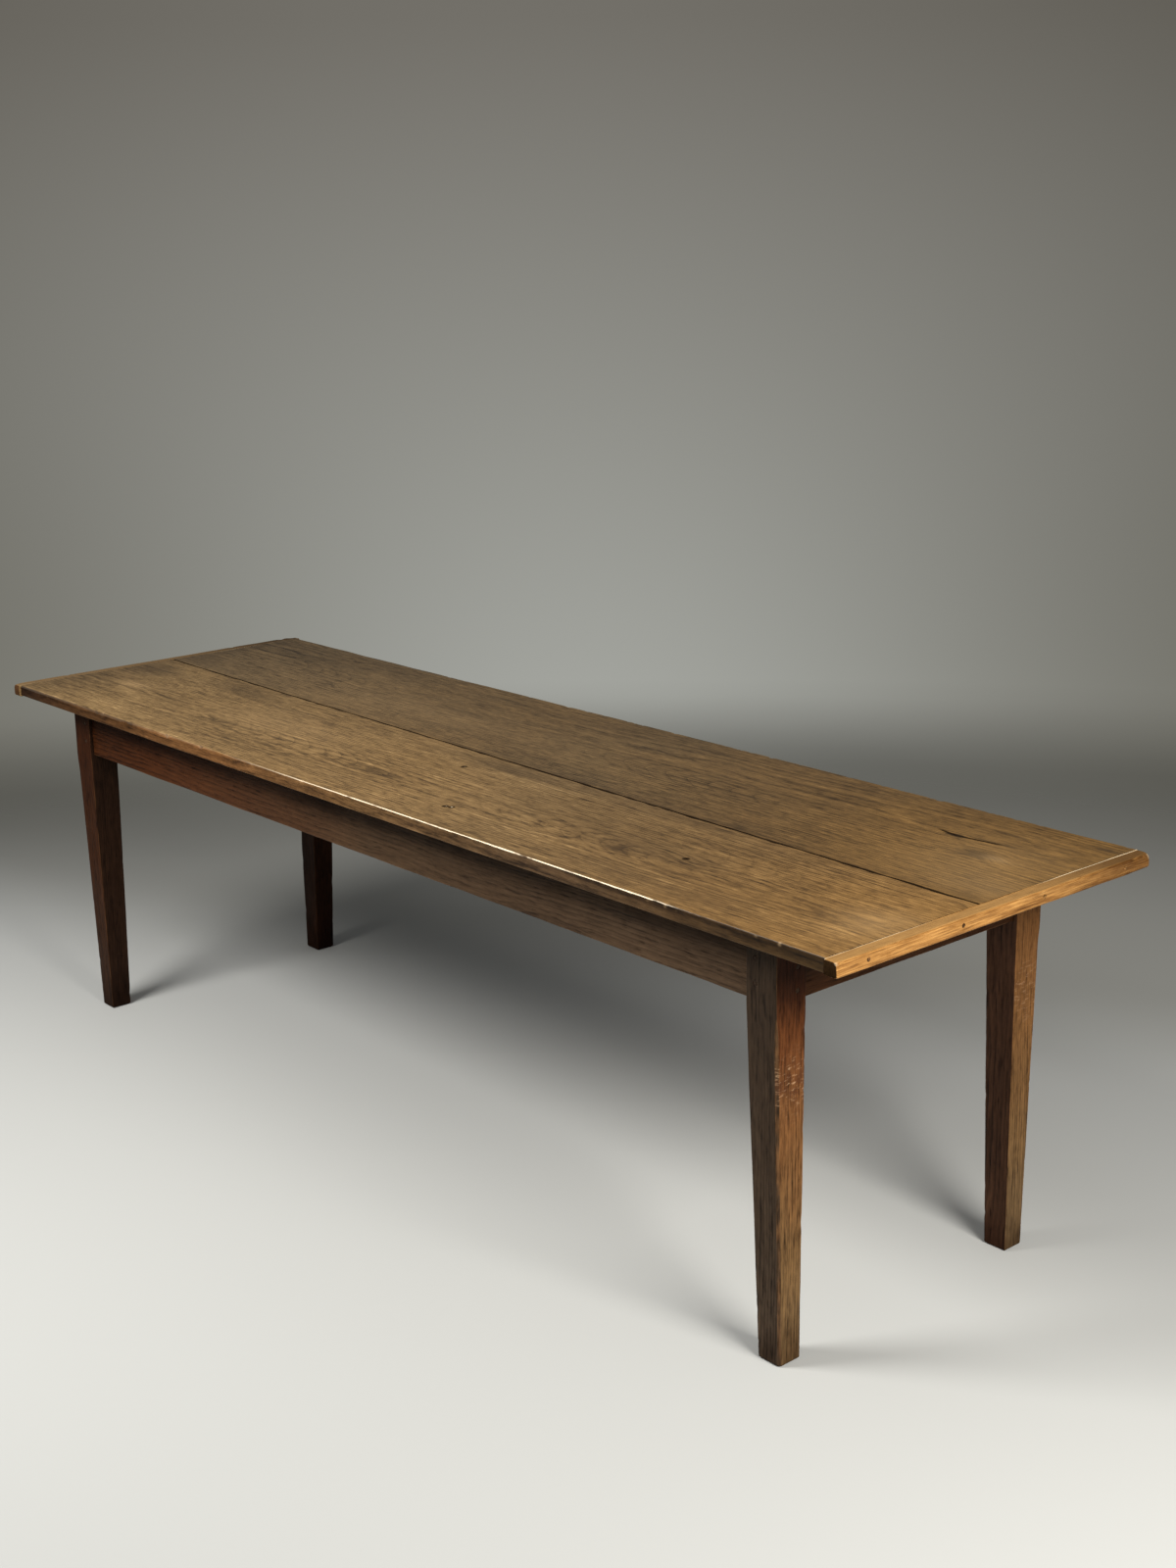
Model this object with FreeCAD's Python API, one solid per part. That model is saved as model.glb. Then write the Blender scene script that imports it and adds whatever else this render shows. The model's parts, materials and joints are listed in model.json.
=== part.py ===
import FreeCAD, Part
import math
import os

Vector = FreeCAD.Vector

# Farmhouse dining table, in millimetres: X runs along the top, Y across it, Z up from the floor.
# The origin is on the floor under the middle of the top.

# The whole table
table_height = 760.0
top_length = 2560.0
top_width = 772.0

# Fits and cuts
joint_clearance = 0.2
pin_clearance = 0.1
cut_overrun = 5.0

# The two planks and the slanted open seam between them
plank_thickness = 25.0
plank_setback = 3.0
plank_edge_round = 3.0
seam_gap = 3.0
seam_left_offset = 20.0
seam_right_offset = -31.0

# The tongue on each plank end
tongue_thickness = 9.0
tongue_length = 13.0
tongue_stop = 25.0

# The cleats across the plank ends
cleat_width = 27.0
cleat_drop = 2.5
cleat_edge_round = 4.0

# The loose keys across the seam
key_length = 60.0
key_width = 64.0
key_thickness = 8.0
key_place_shares = (-0.4, -0.2, 0.0, 0.2, 0.4)

# The nails through each cleat into the planks
nail_head_radius = 4.5
nail_head_height = 2.5
nail_shank_radius = 2.0
nail_length = 62.0
nail_point_length = 14.0
nail_place_shares = (-0.41, -0.13, 0.13, 0.41)

# The legs
leg_block = 66.0
leg_foot = 47.5
leg_end_inset = 174.0
leg_side_inset = 58.0
leg_block_drop = 8.0
leg_side_draw = 15.0
leg_chamfer = 4.0
leg_chamfer_drop = 18.0
leg_chamfer_run = 14.0
foot_ease = 3.0

# The aprons and their tenons
apron_depth = 114.0
apron_thickness = 24.0
apron_setback = 8.0
apron_edge_round = 2.0
tenon_thickness = 9.0
tenon_low_shoulder = 10.0
tenon_top_shoulder = 25.0
mortise_wall = 3.0

# The pegs through the tenons
peg_radius = 4.5
peg_bite = 13.0
peg_point_length = 6.0
peg_point_share = 0.6
side_peg_shares = (0.27, 0.80)
end_peg_shares = (0.13, 0.62)
peg_reach_share = 0.5

# The cross bearers under the planks
bearer_width = 60.0
bearer_depth = 30.0
bearer_housing = 12.0
bearer_names = ("bearer_left", "bearer_middle", "bearer_right")
bearer_place_shares = (-0.25, 0.0, 0.25)
bearer_screw_shares = (-0.40, -0.17, 0.17, 0.40)

# The buttons that hold the top to the aprons
button_width = 42.0
button_length = 36.0
button_thickness = 20.0
button_tongue_thickness = 10.0
button_tongue_reach = 9.0
button_gap = 2.0
button_slot_play = 6.0
side_button_shares = (-0.375, -0.125, 0.125, 0.375)
end_button_shares = (-0.25, 0.25)

# The slotted wood screws of the buttons and the bearers
screw_head_radius = 4.6
screw_head_height = 2.8
screw_shank_radius = 2.3
screw_point_length = 7.0
screw_bite = 15.0
screw_slot_width = 1.2
screw_slot_depth = 1.3

# Places that follow from the sizes above
top_z = table_height
frame_top_z = table_height - plank_thickness
apron_low_z = frame_top_z - apron_depth
plank_end_x = top_length / 2 - cleat_width
plank_side_y = top_width / 2 - plank_setback
tongue_mid_z = top_z - plank_thickness / 2
tongue_side_y = plank_side_y - tongue_stop
seam_angle = math.degrees(math.atan2(seam_right_offset - seam_left_offset, 2 * plank_end_x))
leg_x = top_length / 2 - leg_end_inset
leg_y = top_width / 2 - leg_side_inset
leg_inner_x = leg_x - leg_block
leg_inner_y = leg_y - leg_block
leg_block_z = apron_low_z - leg_block_drop
apron_outer_x = leg_x - apron_setback
apron_outer_y = leg_y - apron_setback
apron_inner_x = apron_outer_x - apron_thickness
apron_inner_y = apron_outer_y - apron_thickness
tenon_cheek = (apron_thickness - tenon_thickness) / 2
tenon_depth = apron_setback + tenon_cheek + tenon_thickness
tenon_length = leg_block - tenon_depth - mortise_wall
tenon_low_z = apron_low_z + tenon_low_shoulder
tenon_top_z = frame_top_z - tenon_top_shoulder
peg_length = tenon_depth + peg_bite
bearer_low_z = frame_top_z - bearer_depth
bearer_end_y = apron_inner_y + bearer_housing - joint_clearance
button_low_z = frame_top_z - button_thickness
button_tongue_top_z = button_low_z + button_tongue_thickness
button_mid_inset = button_gap + button_length / 2


def block(x_low, x_high, y_low, y_high, z_low, z_high):
    corner = Vector(x_low, y_low, z_low)
    return Part.makeBox(x_high - x_low, y_high - y_low, z_high - z_low, corner)


def outline(points, z):
    corners = [Vector(x, y, z) for x, y in points]
    return Part.makePolygon(corners + corners[:1])


def turned(profile):
    # A solid of revolution about Z from (radius, height) points that start and end on the axis
    corners = [Vector(radius, 0, height) for radius, height in profile]
    face = Part.Face(Part.makePolygon(corners + corners[:1]))
    return face.revolve(Vector(), Vector(0, 0, 1), 360)


def aimed(shape, start, direction):
    # A copy of a shape drawn along +Z, moved to start and turned to run along direction
    copy = shape.copy()
    turn = FreeCAD.Rotation(Vector(0, 0, 1), direction)
    copy.Placement = FreeCAD.Placement(start, turn)
    return copy


def mirrored(shape, side_x, side_y):
    if side_x < 0:
        shape = shape.mirror(Vector(), Vector(1, 0, 0))
    if side_y < 0:
        shape = shape.mirror(Vector(), Vector(0, 1, 0))
    return shape


def rounded(shape, radius, wanted):
    edges = [edge for edge in shape.Edges if wanted(edge.BoundBox)]
    return shape.makeFillet(radius, edges)


def save(name, shape):
    shape.exportStep("parts/" + name + ".step")


def headed_pin(head_radius, head_height, shank_radius, length, point_length, play):
    # A tapered head, a shank and a point, with play added all round for the hole that takes it
    return turned((
        (0, 0),
        (head_radius + play, 0),
        (shank_radius + play, head_height + play),
        (shank_radius + play, length - point_length + play),
        (0, length + play),
    ))


def nail(play):
    return headed_pin(nail_head_radius, nail_head_height, nail_shank_radius,
                      nail_length, nail_point_length, play)


def screw_hole(through):
    return headed_pin(screw_head_radius, screw_head_height, screw_shank_radius,
                      through + screw_bite, screw_point_length, pin_clearance)


def screw(through):
    body = headed_pin(screw_head_radius, screw_head_height, screw_shank_radius,
                      through + screw_bite, screw_point_length, 0)
    slot = block(-screw_slot_width / 2, screw_slot_width / 2, -screw_head_radius, screw_head_radius,
                 -cut_overrun, screw_slot_depth)
    return body.cut(slot)


def peg():
    tip_radius = peg_radius * peg_point_share
    return turned((
        (0, 0),
        (peg_radius, 0),
        (peg_radius, peg_length - peg_point_length),
        (tip_radius, peg_length),
        (0, peg_length),
    ))


def peg_hole():
    radius = peg_radius + pin_clearance
    return Part.makeCylinder(radius, peg_length + pin_clearance + cut_overrun, Vector(0, 0, -cut_overrun))


def nail_starts(side_x):
    x = side_x * top_length / 2
    return [Vector(x, share * top_width, tongue_mid_z) for share in nail_place_shares]


def nails(side_x, play):
    inward = Vector(-side_x, 0, 0)
    return [aimed(nail(play), start, inward) for start in nail_starts(side_x)]


def bearer_x(share):
    return share * 2 * leg_x


def bearer_screw_starts(share):
    span = 2 * apron_inner_y
    return [Vector(bearer_x(share), place * span, bearer_low_z) for place in bearer_screw_shares]


def side_button_places():
    return [share * 2 * leg_x for share in side_button_shares]


def end_button_places():
    return [share * 2 * leg_inner_y for share in end_button_shares]


def button_screw_starts():
    side_y = apron_inner_y - button_mid_inset
    end_x = apron_inner_x - button_mid_inset
    starts = []
    for side in (-1, 1):
        starts += [Vector(x, side * side_y, button_low_z) for x in side_button_places()]
        starts += [Vector(side * end_x, y, button_low_z) for y in end_button_places()]
    return starts


def raised(shape, starts):
    return [aimed(shape, start, Vector(0, 0, 1)) for start in starts]


def all_bearer_screw_starts():
    return [start for share in bearer_place_shares for start in bearer_screw_starts(share)]


def top_screw_holes():
    # Pilot holes that the button and bearer screws leave in the planks' undersides
    return (raised(screw_hole(button_thickness), button_screw_starts())
            + raised(screw_hole(bearer_depth), all_bearer_screw_starts()))


def seam_y(x):
    share = (x + plank_end_x) / (2 * plank_end_x)
    return seam_left_offset + share * (seam_right_offset - seam_left_offset)


def keys(play):
    # Loose tenons that lie along the seam, half in each plank
    half_length = key_length / 2 + play
    half_width = key_width / 2 + play
    half_thickness = key_thickness / 2 + play
    key = block(-half_length, half_length, -half_width, half_width, -half_thickness, half_thickness)
    placed = []
    for share in key_place_shares:
        x = share * 2 * plank_end_x
        turn = FreeCAD.Rotation(Vector(0, 0, 1), seam_angle)
        copy = key.copy()
        copy.Placement = FreeCAD.Placement(Vector(x, seam_y(x), tongue_mid_z), turn)
        placed.append(copy)
    return placed


def plank(side):
    # side is -1 for the front plank and 1 for the rear one
    seam_shift = side * seam_gap / 2
    corners = (
        (-plank_end_x, side * plank_side_y),
        (plank_end_x, side * plank_side_y),
        (plank_end_x, seam_right_offset + seam_shift),
        (-plank_end_x, seam_left_offset + seam_shift),
    )
    body = Part.Face(outline(corners, frame_top_z)).extrude(Vector(0, 0, plank_thickness))
    body = rounded(body, plank_edge_round, lambda box: box.XLength > plank_end_x
                   and box.YLength < seam_gap / 2 and abs(box.Center.y) > plank_side_y / 2)
    low_z = tongue_mid_z - tongue_thickness / 2
    for end, seam in ((-1, seam_left_offset), (1, seam_right_offset)):
        x_low, x_high = sorted((end * plank_end_x, end * (plank_end_x + tongue_length)))
        y_low, y_high = sorted((side * tongue_side_y, seam + seam_shift))
        body = body.fuse(block(x_low, x_high, y_low, y_high, low_z, low_z + tongue_thickness))
    holes = keys(joint_clearance) + nails(-1, pin_clearance) + nails(1, pin_clearance) + top_screw_holes()
    return body.cut(holes)


def cleat(side_x):
    x_low, x_high = sorted((side_x * plank_end_x, side_x * top_length / 2))
    low_z = frame_top_z - cleat_drop
    body = block(x_low, x_high, -top_width / 2, top_width / 2, low_z, top_z)
    outer_x = side_x * top_length / 2
    body = rounded(body, cleat_edge_round, lambda box: abs(box.Center.x - outer_x) < cleat_edge_round
                   and box.XLength < cleat_edge_round)
    groove_end_x = side_x * (plank_end_x + tongue_length + joint_clearance)
    groove_low_x, groove_high_x = sorted((side_x * (plank_end_x - cut_overrun), groove_end_x))
    half_height = tongue_thickness / 2 + joint_clearance
    half_length = tongue_side_y + joint_clearance
    groove = block(groove_low_x, groove_high_x, -half_length, half_length,
                   tongue_mid_z - half_height, tongue_mid_z + half_height)
    return body.cut([groove] + nails(side_x, pin_clearance))


def leg_draw(z):
    # How far the taper has gone at height z: 0 from the block up, 1 at the floor
    return max((leg_block_z - z) / leg_block_z, 0)


def leg_corner(z):
    # The outer corner of the leg at height z: plumb on the end face, drawn in on the side face
    return leg_x, leg_y - leg_draw(z) * leg_side_draw


def leg_square(z, ease):
    # The leg's square at height z, drawn in by ease on all four sides: low x, high x, low y, high y
    size = leg_block - leg_draw(z) * (leg_block - leg_foot)
    x, y = leg_corner(z)
    return x - size + ease, x - ease, y - size + ease, y - ease


def tapered(low_z, low_square, high_z, high_square):
    # A block whose square changes from one height to another
    low_x, low_x_end, low_y, low_y_end = low_square
    high_x, high_x_end, high_y, high_y_end = high_square
    wedge = Part.makeWedge(low_x, low_z, -low_y_end, -high_y_end, high_x,
                           low_x_end, high_z, -low_y, -high_y, high_x_end)
    wedge.rotate(Vector(), Vector(1, 0, 0), 90)
    return wedge


def chamfer_point(z, depth):
    # A point on the leg's diagonal plane, depth inside the outer corner at height z
    x, y = leg_corner(z)
    mean = (x + y - depth) / 2
    lean = (leg_x - leg_y) / 2
    return Vector(mean + lean, mean - lean, z)


def corner_chamfer():
    # The chamfer follows the taper, then its stop runs out through the corner
    full_z = leg_block_z - leg_chamfer_drop - leg_chamfer_run
    past_z = full_z + 2 * leg_chamfer_run
    corners = [
        chamfer_point(-cut_overrun, leg_chamfer),
        chamfer_point(full_z, leg_chamfer),
        chamfer_point(past_z, -leg_chamfer),
        chamfer_point(past_z, -leg_block),
        chamfer_point(-cut_overrun, -leg_block),
    ]
    across = Vector(leg_block, -leg_block, 0)
    profile = Part.Face(Part.makePolygon(corners + corners[:1]))
    profile.translate(-across)
    return profile.extrude(2 * across)


def side_mortise():
    c = joint_clearance
    y_high = apron_outer_y - tenon_cheek + c
    y_low = y_high - tenon_thickness - 2 * c
    return block(leg_inner_x - cut_overrun, leg_inner_x + tenon_length + c, y_low, y_high,
                 tenon_low_z - c, tenon_top_z + c)


def end_mortise():
    c = joint_clearance
    x_high = apron_outer_x - tenon_cheek + c
    x_low = x_high - tenon_thickness - 2 * c
    return block(x_low, x_high, leg_inner_y - cut_overrun, leg_inner_y + tenon_length + c,
                 tenon_low_z - c, tenon_top_z + c)


def peg_height(share):
    return tenon_low_z + share * (tenon_top_z - tenon_low_z)


def side_peg_starts():
    x = leg_inner_x + peg_reach_share * tenon_length
    return [Vector(x, leg_y, peg_height(share)) for share in side_peg_shares]


def end_peg_starts():
    y = leg_inner_y + peg_reach_share * tenon_length
    return [Vector(leg_x, y, peg_height(share)) for share in end_peg_shares]


def side_pegs(shape):
    return [aimed(shape, start, Vector(0, -1, 0)) for start in side_peg_starts()]


def end_pegs(shape):
    return [aimed(shape, start, Vector(-1, 0, 0)) for start in end_peg_starts()]


def leg():
    # The leg at the rear right; the other three are its mirror images
    head = block(leg_inner_x, leg_x, leg_inner_y, leg_y, leg_block_z, frame_top_z)
    shaft = tapered(foot_ease, leg_square(foot_ease, 0), leg_block_z, leg_square(leg_block_z, 0))
    foot = tapered(0, leg_square(0, foot_ease), foot_ease, leg_square(foot_ease, 0))
    body = head.fuse([shaft, foot]).removeSplitter()
    holes = side_pegs(peg_hole()) + end_pegs(peg_hole())
    return body.cut([corner_chamfer(), side_mortise(), end_mortise()] + holes)


def lower_outer_edge(box):
    long_enough = max(box.XLength, box.YLength) > leg_block
    return long_enough and box.ZMax < apron_low_z + apron_edge_round


def side_apron():
    # The rear apron: a rail between the legs with a tenon at each end
    rail = block(-leg_inner_x, leg_inner_x, apron_inner_y, apron_outer_y, apron_low_z, frame_top_z)
    rail = rounded(rail, apron_edge_round, lower_outer_edge)
    tenon_end_x = leg_inner_x + tenon_length
    tenon_y = apron_inner_y + tenon_cheek
    tenon = block(-tenon_end_x, tenon_end_x, tenon_y, tenon_y + tenon_thickness, tenon_low_z, tenon_top_z)
    cuts = []
    for side_x in (-1, 1):
        cuts += [mirrored(hole, side_x, 1) for hole in side_pegs(peg_hole())]
    for share in bearer_place_shares:
        half = bearer_width / 2 + joint_clearance
        x = bearer_x(share)
        cuts.append(block(x - half, x + half, apron_inner_y - cut_overrun, apron_inner_y + bearer_housing,
                          bearer_low_z, frame_top_z + cut_overrun))
    for x in side_button_places():
        half = button_width / 2 + button_slot_play
        cuts.append(block(x - half, x + half, apron_inner_y - cut_overrun,
                          apron_inner_y + button_tongue_reach + joint_clearance,
                          button_low_z - joint_clearance, button_tongue_top_z))
    return rail.fuse(tenon).cut(cuts)


def end_apron():
    # The right apron
    rail = block(apron_inner_x, apron_outer_x, -leg_inner_y, leg_inner_y, apron_low_z, frame_top_z)
    rail = rounded(rail, apron_edge_round, lower_outer_edge)
    tenon_end_y = leg_inner_y + tenon_length
    tenon_x = apron_inner_x + tenon_cheek
    tenon = block(tenon_x, tenon_x + tenon_thickness, -tenon_end_y, tenon_end_y, tenon_low_z, tenon_top_z)
    cuts = []
    for side_y in (-1, 1):
        cuts += [mirrored(hole, 1, side_y) for hole in end_pegs(peg_hole())]
    for y in end_button_places():
        half = button_width / 2 + button_slot_play
        cuts.append(block(apron_inner_x - cut_overrun, apron_inner_x + button_tongue_reach + joint_clearance,
                          y - half, y + half, button_low_z - joint_clearance, button_tongue_top_z))
    return rail.fuse(tenon).cut(cuts)


def bearer(share):
    x = bearer_x(share)
    half = bearer_width / 2
    body = block(x - half, x + half, -bearer_end_y, bearer_end_y, bearer_low_z, frame_top_z)
    return body.cut(raised(screw_hole(bearer_depth), bearer_screw_starts(share)))


def side_button(x):
    # A block under the rear edge of the top, with a tongue in the apron's slot
    half = button_width / 2
    y_high = apron_inner_y - button_gap
    body = block(x - half, x + half, y_high - button_length, y_high, button_low_z, frame_top_z)
    tongue = block(x - half, x + half, y_high, apron_inner_y + button_tongue_reach,
                   button_low_z, button_tongue_top_z)
    return body.fuse(tongue).removeSplitter()


def end_button(y):
    half = button_width / 2
    x_high = apron_inner_x - button_gap
    body = block(x_high - button_length, x_high, y - half, y + half, button_low_z, frame_top_z)
    tongue = block(x_high, apron_inner_x + button_tongue_reach, y - half, y + half,
                   button_low_z, button_tongue_top_z)
    return body.fuse(tongue).removeSplitter()


def drilled(buttons):
    holes = raised(screw_hole(button_thickness), button_screw_starts())
    return Part.makeCompound([button.cut(holes) for button in buttons])


def save_top():
    save("top_plank_front", plank(-1))
    save("top_plank_rear", plank(1))
    save("seam_keys", Part.makeCompound(keys(0)))
    for name, side_x in (("left", -1), ("right", 1)):
        save("end_cleat_" + name, cleat(side_x))
        save("cleat_nails_" + name, Part.makeCompound(nails(side_x, 0)))


def save_legs():
    corner_leg = leg()
    for depth_name, side_y in (("front", -1), ("rear", 1)):
        for end_name, side_x in (("left", -1), ("right", 1)):
            save("leg_" + depth_name + "_" + end_name, mirrored(corner_leg, side_x, side_y))


def save_sides():
    rail = side_apron()
    buttons = drilled([side_button(x) for x in side_button_places()])
    for name, side_y in (("front", -1), ("rear", 1)):
        pegs = [mirrored(pin, side_x, side_y) for side_x in (-1, 1) for pin in side_pegs(peg())]
        save("apron_" + name, mirrored(rail, 1, side_y))
        save("tenon_pegs_" + name, Part.makeCompound(pegs))
        save("top_buttons_" + name, mirrored(buttons, 1, side_y))


def save_ends():
    rail = end_apron()
    buttons = drilled([end_button(y) for y in end_button_places()])
    for name, side_x in (("left", -1), ("right", 1)):
        pegs = [mirrored(pin, side_x, side_y) for side_y in (-1, 1) for pin in end_pegs(peg())]
        save("apron_" + name, mirrored(rail, side_x, 1))
        save("tenon_pegs_" + name, Part.makeCompound(pegs))
        save("top_buttons_" + name, mirrored(buttons, side_x, 1))


def save_bearers_and_screws():
    for name, share in zip(bearer_names, bearer_place_shares):
        save(name, bearer(share))
    save("bearer_screws", Part.makeCompound(raised(screw(bearer_depth), all_bearer_screw_starts())))
    save("button_screws", Part.makeCompound(raised(screw(button_thickness), button_screw_starts())))


os.makedirs("parts", exist_ok=True)
save_top()
save_legs()
save_sides()
save_ends()
save_bearers_and_screws()
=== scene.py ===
import json
import math
import bmesh
import bpy
import numpy as np
from mathutils import Matrix, Vector, noise

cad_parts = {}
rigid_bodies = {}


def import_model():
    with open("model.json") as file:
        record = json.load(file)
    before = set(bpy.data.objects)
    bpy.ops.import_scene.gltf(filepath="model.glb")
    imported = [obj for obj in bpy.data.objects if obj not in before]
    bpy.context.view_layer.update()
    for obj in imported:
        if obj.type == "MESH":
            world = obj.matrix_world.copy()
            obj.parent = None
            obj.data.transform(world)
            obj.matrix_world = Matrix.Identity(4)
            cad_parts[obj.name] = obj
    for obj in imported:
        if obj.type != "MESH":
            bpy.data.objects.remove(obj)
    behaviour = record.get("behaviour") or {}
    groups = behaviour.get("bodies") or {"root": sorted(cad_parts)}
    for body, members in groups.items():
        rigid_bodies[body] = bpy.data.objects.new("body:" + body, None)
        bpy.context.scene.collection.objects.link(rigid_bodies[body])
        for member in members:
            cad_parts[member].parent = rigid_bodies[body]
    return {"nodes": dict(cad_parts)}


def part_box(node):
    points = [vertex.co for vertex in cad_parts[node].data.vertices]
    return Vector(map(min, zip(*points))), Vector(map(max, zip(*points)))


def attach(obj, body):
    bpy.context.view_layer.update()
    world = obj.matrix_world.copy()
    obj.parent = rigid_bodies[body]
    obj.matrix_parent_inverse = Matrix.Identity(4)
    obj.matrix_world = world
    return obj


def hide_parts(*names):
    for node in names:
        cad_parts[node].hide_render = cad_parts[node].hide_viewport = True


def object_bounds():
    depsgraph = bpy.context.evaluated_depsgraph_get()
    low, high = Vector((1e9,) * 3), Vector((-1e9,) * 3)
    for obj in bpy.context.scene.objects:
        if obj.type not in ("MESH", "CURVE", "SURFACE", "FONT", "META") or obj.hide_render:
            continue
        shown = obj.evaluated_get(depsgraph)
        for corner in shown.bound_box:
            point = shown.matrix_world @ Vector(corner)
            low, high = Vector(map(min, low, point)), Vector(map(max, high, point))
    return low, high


for leftOver in list(bpy.data.objects):
    bpy.data.objects.remove(leftOver)
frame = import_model()
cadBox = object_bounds()
print("frame loaded:", len(frame["nodes"]), "nodes")


# Shader maths: a Field is a socket, and sums of Fields add their own Math nodes
class Field:
    def __init__(self, tree, socket=None):
        self.tree = tree
        self.socket = socket

    def node(self, kind, settings=None, values=None, output=0):
        made = self.tree.nodes.new(kind)
        for key, value in (settings or {}).items():
            if key == "stops":
                fillRamp(made.color_ramp, value)
            else:
                setattr(made, key, value)
        for key, value in (values or {}).items():
            if isinstance(value, Field):
                self.tree.links.new(value.socket, made.inputs[key])
            else:
                made.inputs[key].default_value = value
        return Field(self.tree, made.outputs[output] if made.outputs else None)

    def math(self, operation, *others):
        values = dict(enumerate((self,) + others))
        return self.node("ShaderNodeMath", {"operation": operation}, values)

    def mathAfter(self, operation, first):
        return self.node("ShaderNodeMath", {"operation": operation}, {0: first, 1: self})

    def __add__(self, other):
        return self.math("ADD", other)

    def __sub__(self, other):
        return self.math("SUBTRACT", other)

    def __mul__(self, other):
        return self.math("MULTIPLY", other)

    def __truediv__(self, other):
        return self.math("DIVIDE", other)

    def __pow__(self, other):
        return self.math("POWER", other)

    def __radd__(self, other):
        return self.mathAfter("ADD", other)

    def __rsub__(self, other):
        return self.mathAfter("SUBTRACT", other)

    def __rmul__(self, other):
        return self.mathAfter("MULTIPLY", other)

    def __rtruediv__(self, other):
        return self.mathAfter("DIVIDE", other)

    def __abs__(self):
        return self.math("ABSOLUTE")

    # 0 up to low, 1 from high on, with soft ends; it falls where low is the larger
    def ease(self, low, high):
        values = {"Value": self, "From Min": low, "From Max": high}
        return self.node("ShaderNodeMapRange", {"interpolation_type": "SMOOTHSTEP"}, values)

    # screen colours by place, as (place, colour) stops
    def ramp(self, stops):
        return self.node("ShaderNodeValToRGB", {"stops": stops}, {0: self})

    # colours: this one under another, by an amount; a plain tuple is a screen colour
    def under(self, colour, amount, mode="MIX"):
        if isinstance(colour, tuple):
            colour = paint(colour)
        settings = {"data_type": "RGBA", "blend_type": mode}
        return self.node("ShaderNodeMix", settings, {0: amount, 6: self, 7: colour}, 2)

    # this colour tinted by another, by an amount
    def times(self, colour, amount=1.0):
        return self.under(colour, amount, "MULTIPLY")


def fillRamp(ramp, stops):
    while len(ramp.elements) > 1:
        ramp.elements.remove(ramp.elements[0])
    ramp.elements[0].position = stops[0][0]
    ramp.elements[0].color = paint(stops[0][1])
    for position, colour in stops[1:]:
        ramp.elements.new(position).color = paint(colour)


def paint(colour):
    # a colour as seen on screen, 0 to 255, in the linear values that shaders take
    parts = [part / 255 for part in colour]
    linear = [part / 12.92 if part < 0.04 else ((part + 0.055) / 1.055) ** 2.4 for part in parts]
    return tuple(linear) + (1.0,)


def splitPlace(place):
    return [place.node("ShaderNodeSeparateXYZ", None, {0: place}, axis) for axis in range(3)]


def noiseAt(place, scale, seed, detail=2.0, rough=0.5):
    shift = (seed, 1.7 * seed, 2.3 * seed)
    mapped = place.node("ShaderNodeMapping", None, {"Vector": place, "Location": shift, "Scale": scale})
    values = {"Vector": mapped, "Scale": 1.0, "Detail": detail, "Roughness": rough}
    return place.node("ShaderNodeTexNoise", None, values)


def noisesAt(place, table, seed):
    # named noises from rows of cycles along and across, the seed's step, detail and roughness
    return {name: noiseAt(place, (along, across, across), seed + step, *finish)
            for name, (along, across, step, *finish) in table.items()}


def bell(*terms):
    # 1 at a spot and near 0 beyond its reach, from (value, middle, reach) terms
    first, *rest = [((value - middle) / reach) ** 2.0 for value, middle, reach in terms]
    return (sum(rest, first) * -1.0).math("EXPONENT")


def emptyMaterial(name):
    material = bpy.data.materials.new(name)
    material.use_nodes = True
    material.node_tree.nodes.clear()
    start = Field(material.node_tree)
    return material, start, start.node("ShaderNodeTexCoord", output="Object")


def bumped(height, strength, distance):
    values = {"Height": height, "Strength": strength, "Distance": distance}
    return height.node("ShaderNodeBump", None, values)


def principled(start, values):
    return start.node("ShaderNodeBsdfPrincipled", None, values)


def showShader(shader):
    shader.node("ShaderNodeOutputMaterial", None, {"Surface": shader})


# Old oak: rings about a pith line beside the board, pores, streaks, fibre and slow clouds of colour
levelNoises = {"shown": (2.4, 10.0, 12.0), "dashes": (26.0, 165.0, 3.0), "fine": (34.0, 620.0, 4.0)}
variedNoises = {
    "swayAcross": (0.8, 2.0, 0.0), "swayDepth": (1.1, 2.5, 5.0), "curl": (5.0, 16.0, 9.0),
    "ripple": (22.0, 75.0, 14.0), "strand": (17.0, 80.0, 16.0), "fibre": (24.0, 230.0, 6.0, 3.0, 0.6),
    "fleck": (60.0, 130.0, 17.0, 3.0, 0.6), "mottle": (9.0, 22.0, 7.0, 3.0), "patch": (4.0, 10.0, 19.0),
    "cloud": (1.6, 4.5, 8.0),
}
ringNoises = {"uneven": (0.0, 38.0, 2.0), "streak": (8.0, 190.0, 15.0, 3.0, 0.6),
              "thread": (2.4, 190.0, 18.0)}
oakMix = {
    "ripple": 0.3, "curlDark": 0.1, "figurePower": 3.0, "unevenRings": 1.6, "shown": (0.36, 0.62),
    "shownLeast": 0.25, "earlyPower": 7.0, "lateRise": (0.10, 0.30), "lateFall": (0.85, 0.40),
    "pores": (0.57, 0.70), "fine": (0.48, 0.72), "thread": (0.56, 0.66), "archSway": 0.05,
    "archRipple": 0.007, "archUneven": 0.6, "archPower": 5.0, "streak": 0.45, "strand": 0.24,
    "fibre": 0.85, "fleck": 0.45, "mottle": 0.16, "patch": 0.16, "cloud": 0.4, "middle": 0.565,
}
oakFinish = {
    "poreGroove": 0.8, "earlyGroove": 0.25, "fineGroove": 0.3, "fibreHeight": 0.5, "poreRough": 0.16,
    "mottleRough": 0.25, "strandShine": 0.2, "bumpDepth": 0.001, "coatRough": 0.4,
    "wearScale": (24.0, 90.0, 90.0),
}


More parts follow.
